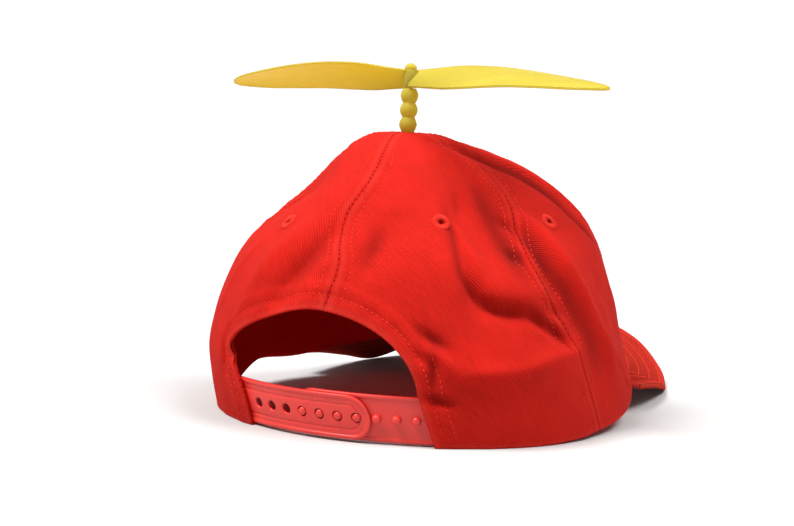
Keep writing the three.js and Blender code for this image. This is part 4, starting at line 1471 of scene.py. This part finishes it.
class CAP_OT_stage(bpy.types.Operator):
    """Sets the camera, the pale floor and the soft studio lights"""
    bl_idname = "cap.stage"
    bl_label = "Stage"

    def execute(self, context):
        stage = context.scene.cap_stage
        self.camera(context, stage)
        self.floor(context, stage)
        self.lights(context)
        return {"FINISHED"}

    def camera(self, context, stage):
        """A camera behind the cap's right shoulder, a little above its rim."""
        a, p, r = stage.azimuth, stage.pitch, stage.roll
        right = Vector((math.cos(a), math.sin(a), 0))
        level = Vector((-math.sin(a), math.cos(a), 0))
        forward = level * math.cos(p) - Vector((0, 0, math.sin(p)))
        up = right.cross(forward)
        axes = Matrix((
            right * math.cos(r) + up * math.sin(r),
            up * math.cos(r) - right * math.sin(r),
            -forward,
        ))
        eye = -level * stage.distance - right * stage.side_step + Vector(CAP_SHIFT * MM)
        eye.z = stage.height
        data = bpy.data.cameras.new("camera")
        data.lens = stage.lens
        data.sensor_width = 36
        data.clip_start = 0.01
        camera = bpy.data.objects.new("camera", data)
        camera.matrix_world = Matrix.Translation(eye) @ axes.transposed().to_4x4()
        context.collection.objects.link(camera)
        context.scene.camera = camera

    def floor(self, context, stage):
        """A wide matt floor, painted with a roller that leaves a faint grain."""
        material, tree = new_material("painted_floor")
        place = add_node(tree, "ShaderNodeTexCoord").outputs["Object"]
        grit = 3 * MM
        grain = add_node(tree, "ShaderNodeTexNoise", {
            "Vector": place, "Scale": 1 / grit, "Detail": 2.0}).outputs["Fac"]
        bump = add_node(tree, "ShaderNodeBump", {
            "Height": grain, "Strength": 0.05, "Distance": 0.1 * MM}).outputs[0]
        finish_material(tree, Base_Color=rgba(stage.floor_colour), Roughness=0.9, Normal=bump)
        size = 30.0
        mesh = bpy.data.meshes.new("floor")
        corners = [(-size, -size, 0), (size, -size, 0), (size, size, 0), (-size, size, 0)]
        mesh.from_pydata(corners, [], [(0, 1, 2, 3)])
        mesh.materials.append(material)
        floor = bpy.data.objects.new("floor", mesh)
        context.collection.objects.link(floor)

    def lights(self, context):
        """White near the horizon under a dim ceiling, with three large soft lights from high up."""
        world = bpy.data.worlds.new("studio")
        world.use_nodes = True
        tree = world.node_tree
        tree.nodes.clear()
        way = add_node(tree, "ShaderNodeTexCoord").outputs["Generated"]
        rise = add_node(tree, "ShaderNodeSeparateXYZ", {0: way}).outputs["Z"]
        glow = add_node(tree, "ShaderNodeMapRange", {
            "Value": rise, 1: 0.14, 2: 0.4, 3: 1.08, 4: 0.2}).outputs[0]
        background = add_node(tree, "ShaderNodeBackground", {"Color": (1, 1, 1, 1), "Strength": glow})
        add_node(tree, "ShaderNodeOutputWorld", {"Surface": background.outputs[0]})
        context.scene.world = world
        context.scene.view_settings.view_transform = "Standard"
        # Azimuth from the back, elevation, softness and strength of each light
        for name, azimuth, elevation, softness, strength in (
            ("left", -40, 60, 30, 5.6),
            ("right", 95, 60, 30, 3.3),
            ("behind", 200, 68, 40, 0.7),
        ):
            level = math.cos(math.radians(elevation))
            a = math.radians(azimuth)
            towards = Vector((level * math.sin(a), -level * math.cos(a), math.sin(math.radians(elevation))))
            data = bpy.data.lights.new(name, "SUN")
            data.angle = math.radians(softness)
            data.energy = strength
            light = bpy.data.objects.new(name, data)
            light.location = towards * 2
            light.rotation_euler = towards.to_track_quat("Z", "Y").to_euler()
            context.collection.objects.link(light)


SETTINGS = {
    "cap_cloth": ClothSettings,
    "cap_plastic": PlasticSettings,
    "cap_stage": StageSettings,
}
STEPS = (
    CAP_OT_stage,
    CAP_OT_panels,
    CAP_OT_eyelets,
    CAP_OT_stitching,
    CAP_OT_peak,
    CAP_OT_sweatband,
    CAP_OT_strap,
    CAP_OT_stalk,
    CAP_OT_propeller,
)


class CAP_PT_sidebar(bpy.types.Panel):
    """Lists the steps and their sizes"""
    bl_idname = "CAP_PT_sidebar"
    bl_label = "Propeller Cap"
    bl_space_type = "VIEW_3D"
    bl_region_type = "UI"
    bl_category = "Propeller Cap"

    def draw(self, context):
        for group in SETTINGS:
            settings = getattr(context.scene, group)
            box = self.layout.box()
            for name in settings.__annotations__:
                box.prop(settings, name)
        for step in STEPS:
            self.layout.operator(step.bl_idname)


CLASSES = (*SETTINGS.values(), *STEPS, CAP_PT_sidebar)


def register():
    for item in CLASSES:
        bpy.utils.register_class(item)
    for name, group in SETTINGS.items():
        setattr(bpy.types.Scene, name, PointerProperty(type=group))


def unregister():
    for name in SETTINGS:
        delattr(bpy.types.Scene, name)
    for item in reversed(CLASSES):
        bpy.utils.unregister_class(item)


def main():
    register()
    bpy.ops.cap.stage()
    bpy.ops.cap.panels()
    bpy.ops.cap.eyelets()
    bpy.ops.cap.stitching()
    bpy.ops.cap.peak()
    bpy.ops.cap.sweatband()
    bpy.ops.cap.strap()
    bpy.ops.cap.stalk()
    bpy.ops.cap.propeller()
    bpy.context.view_layer.update()


if __name__ == "__main__":
    main()
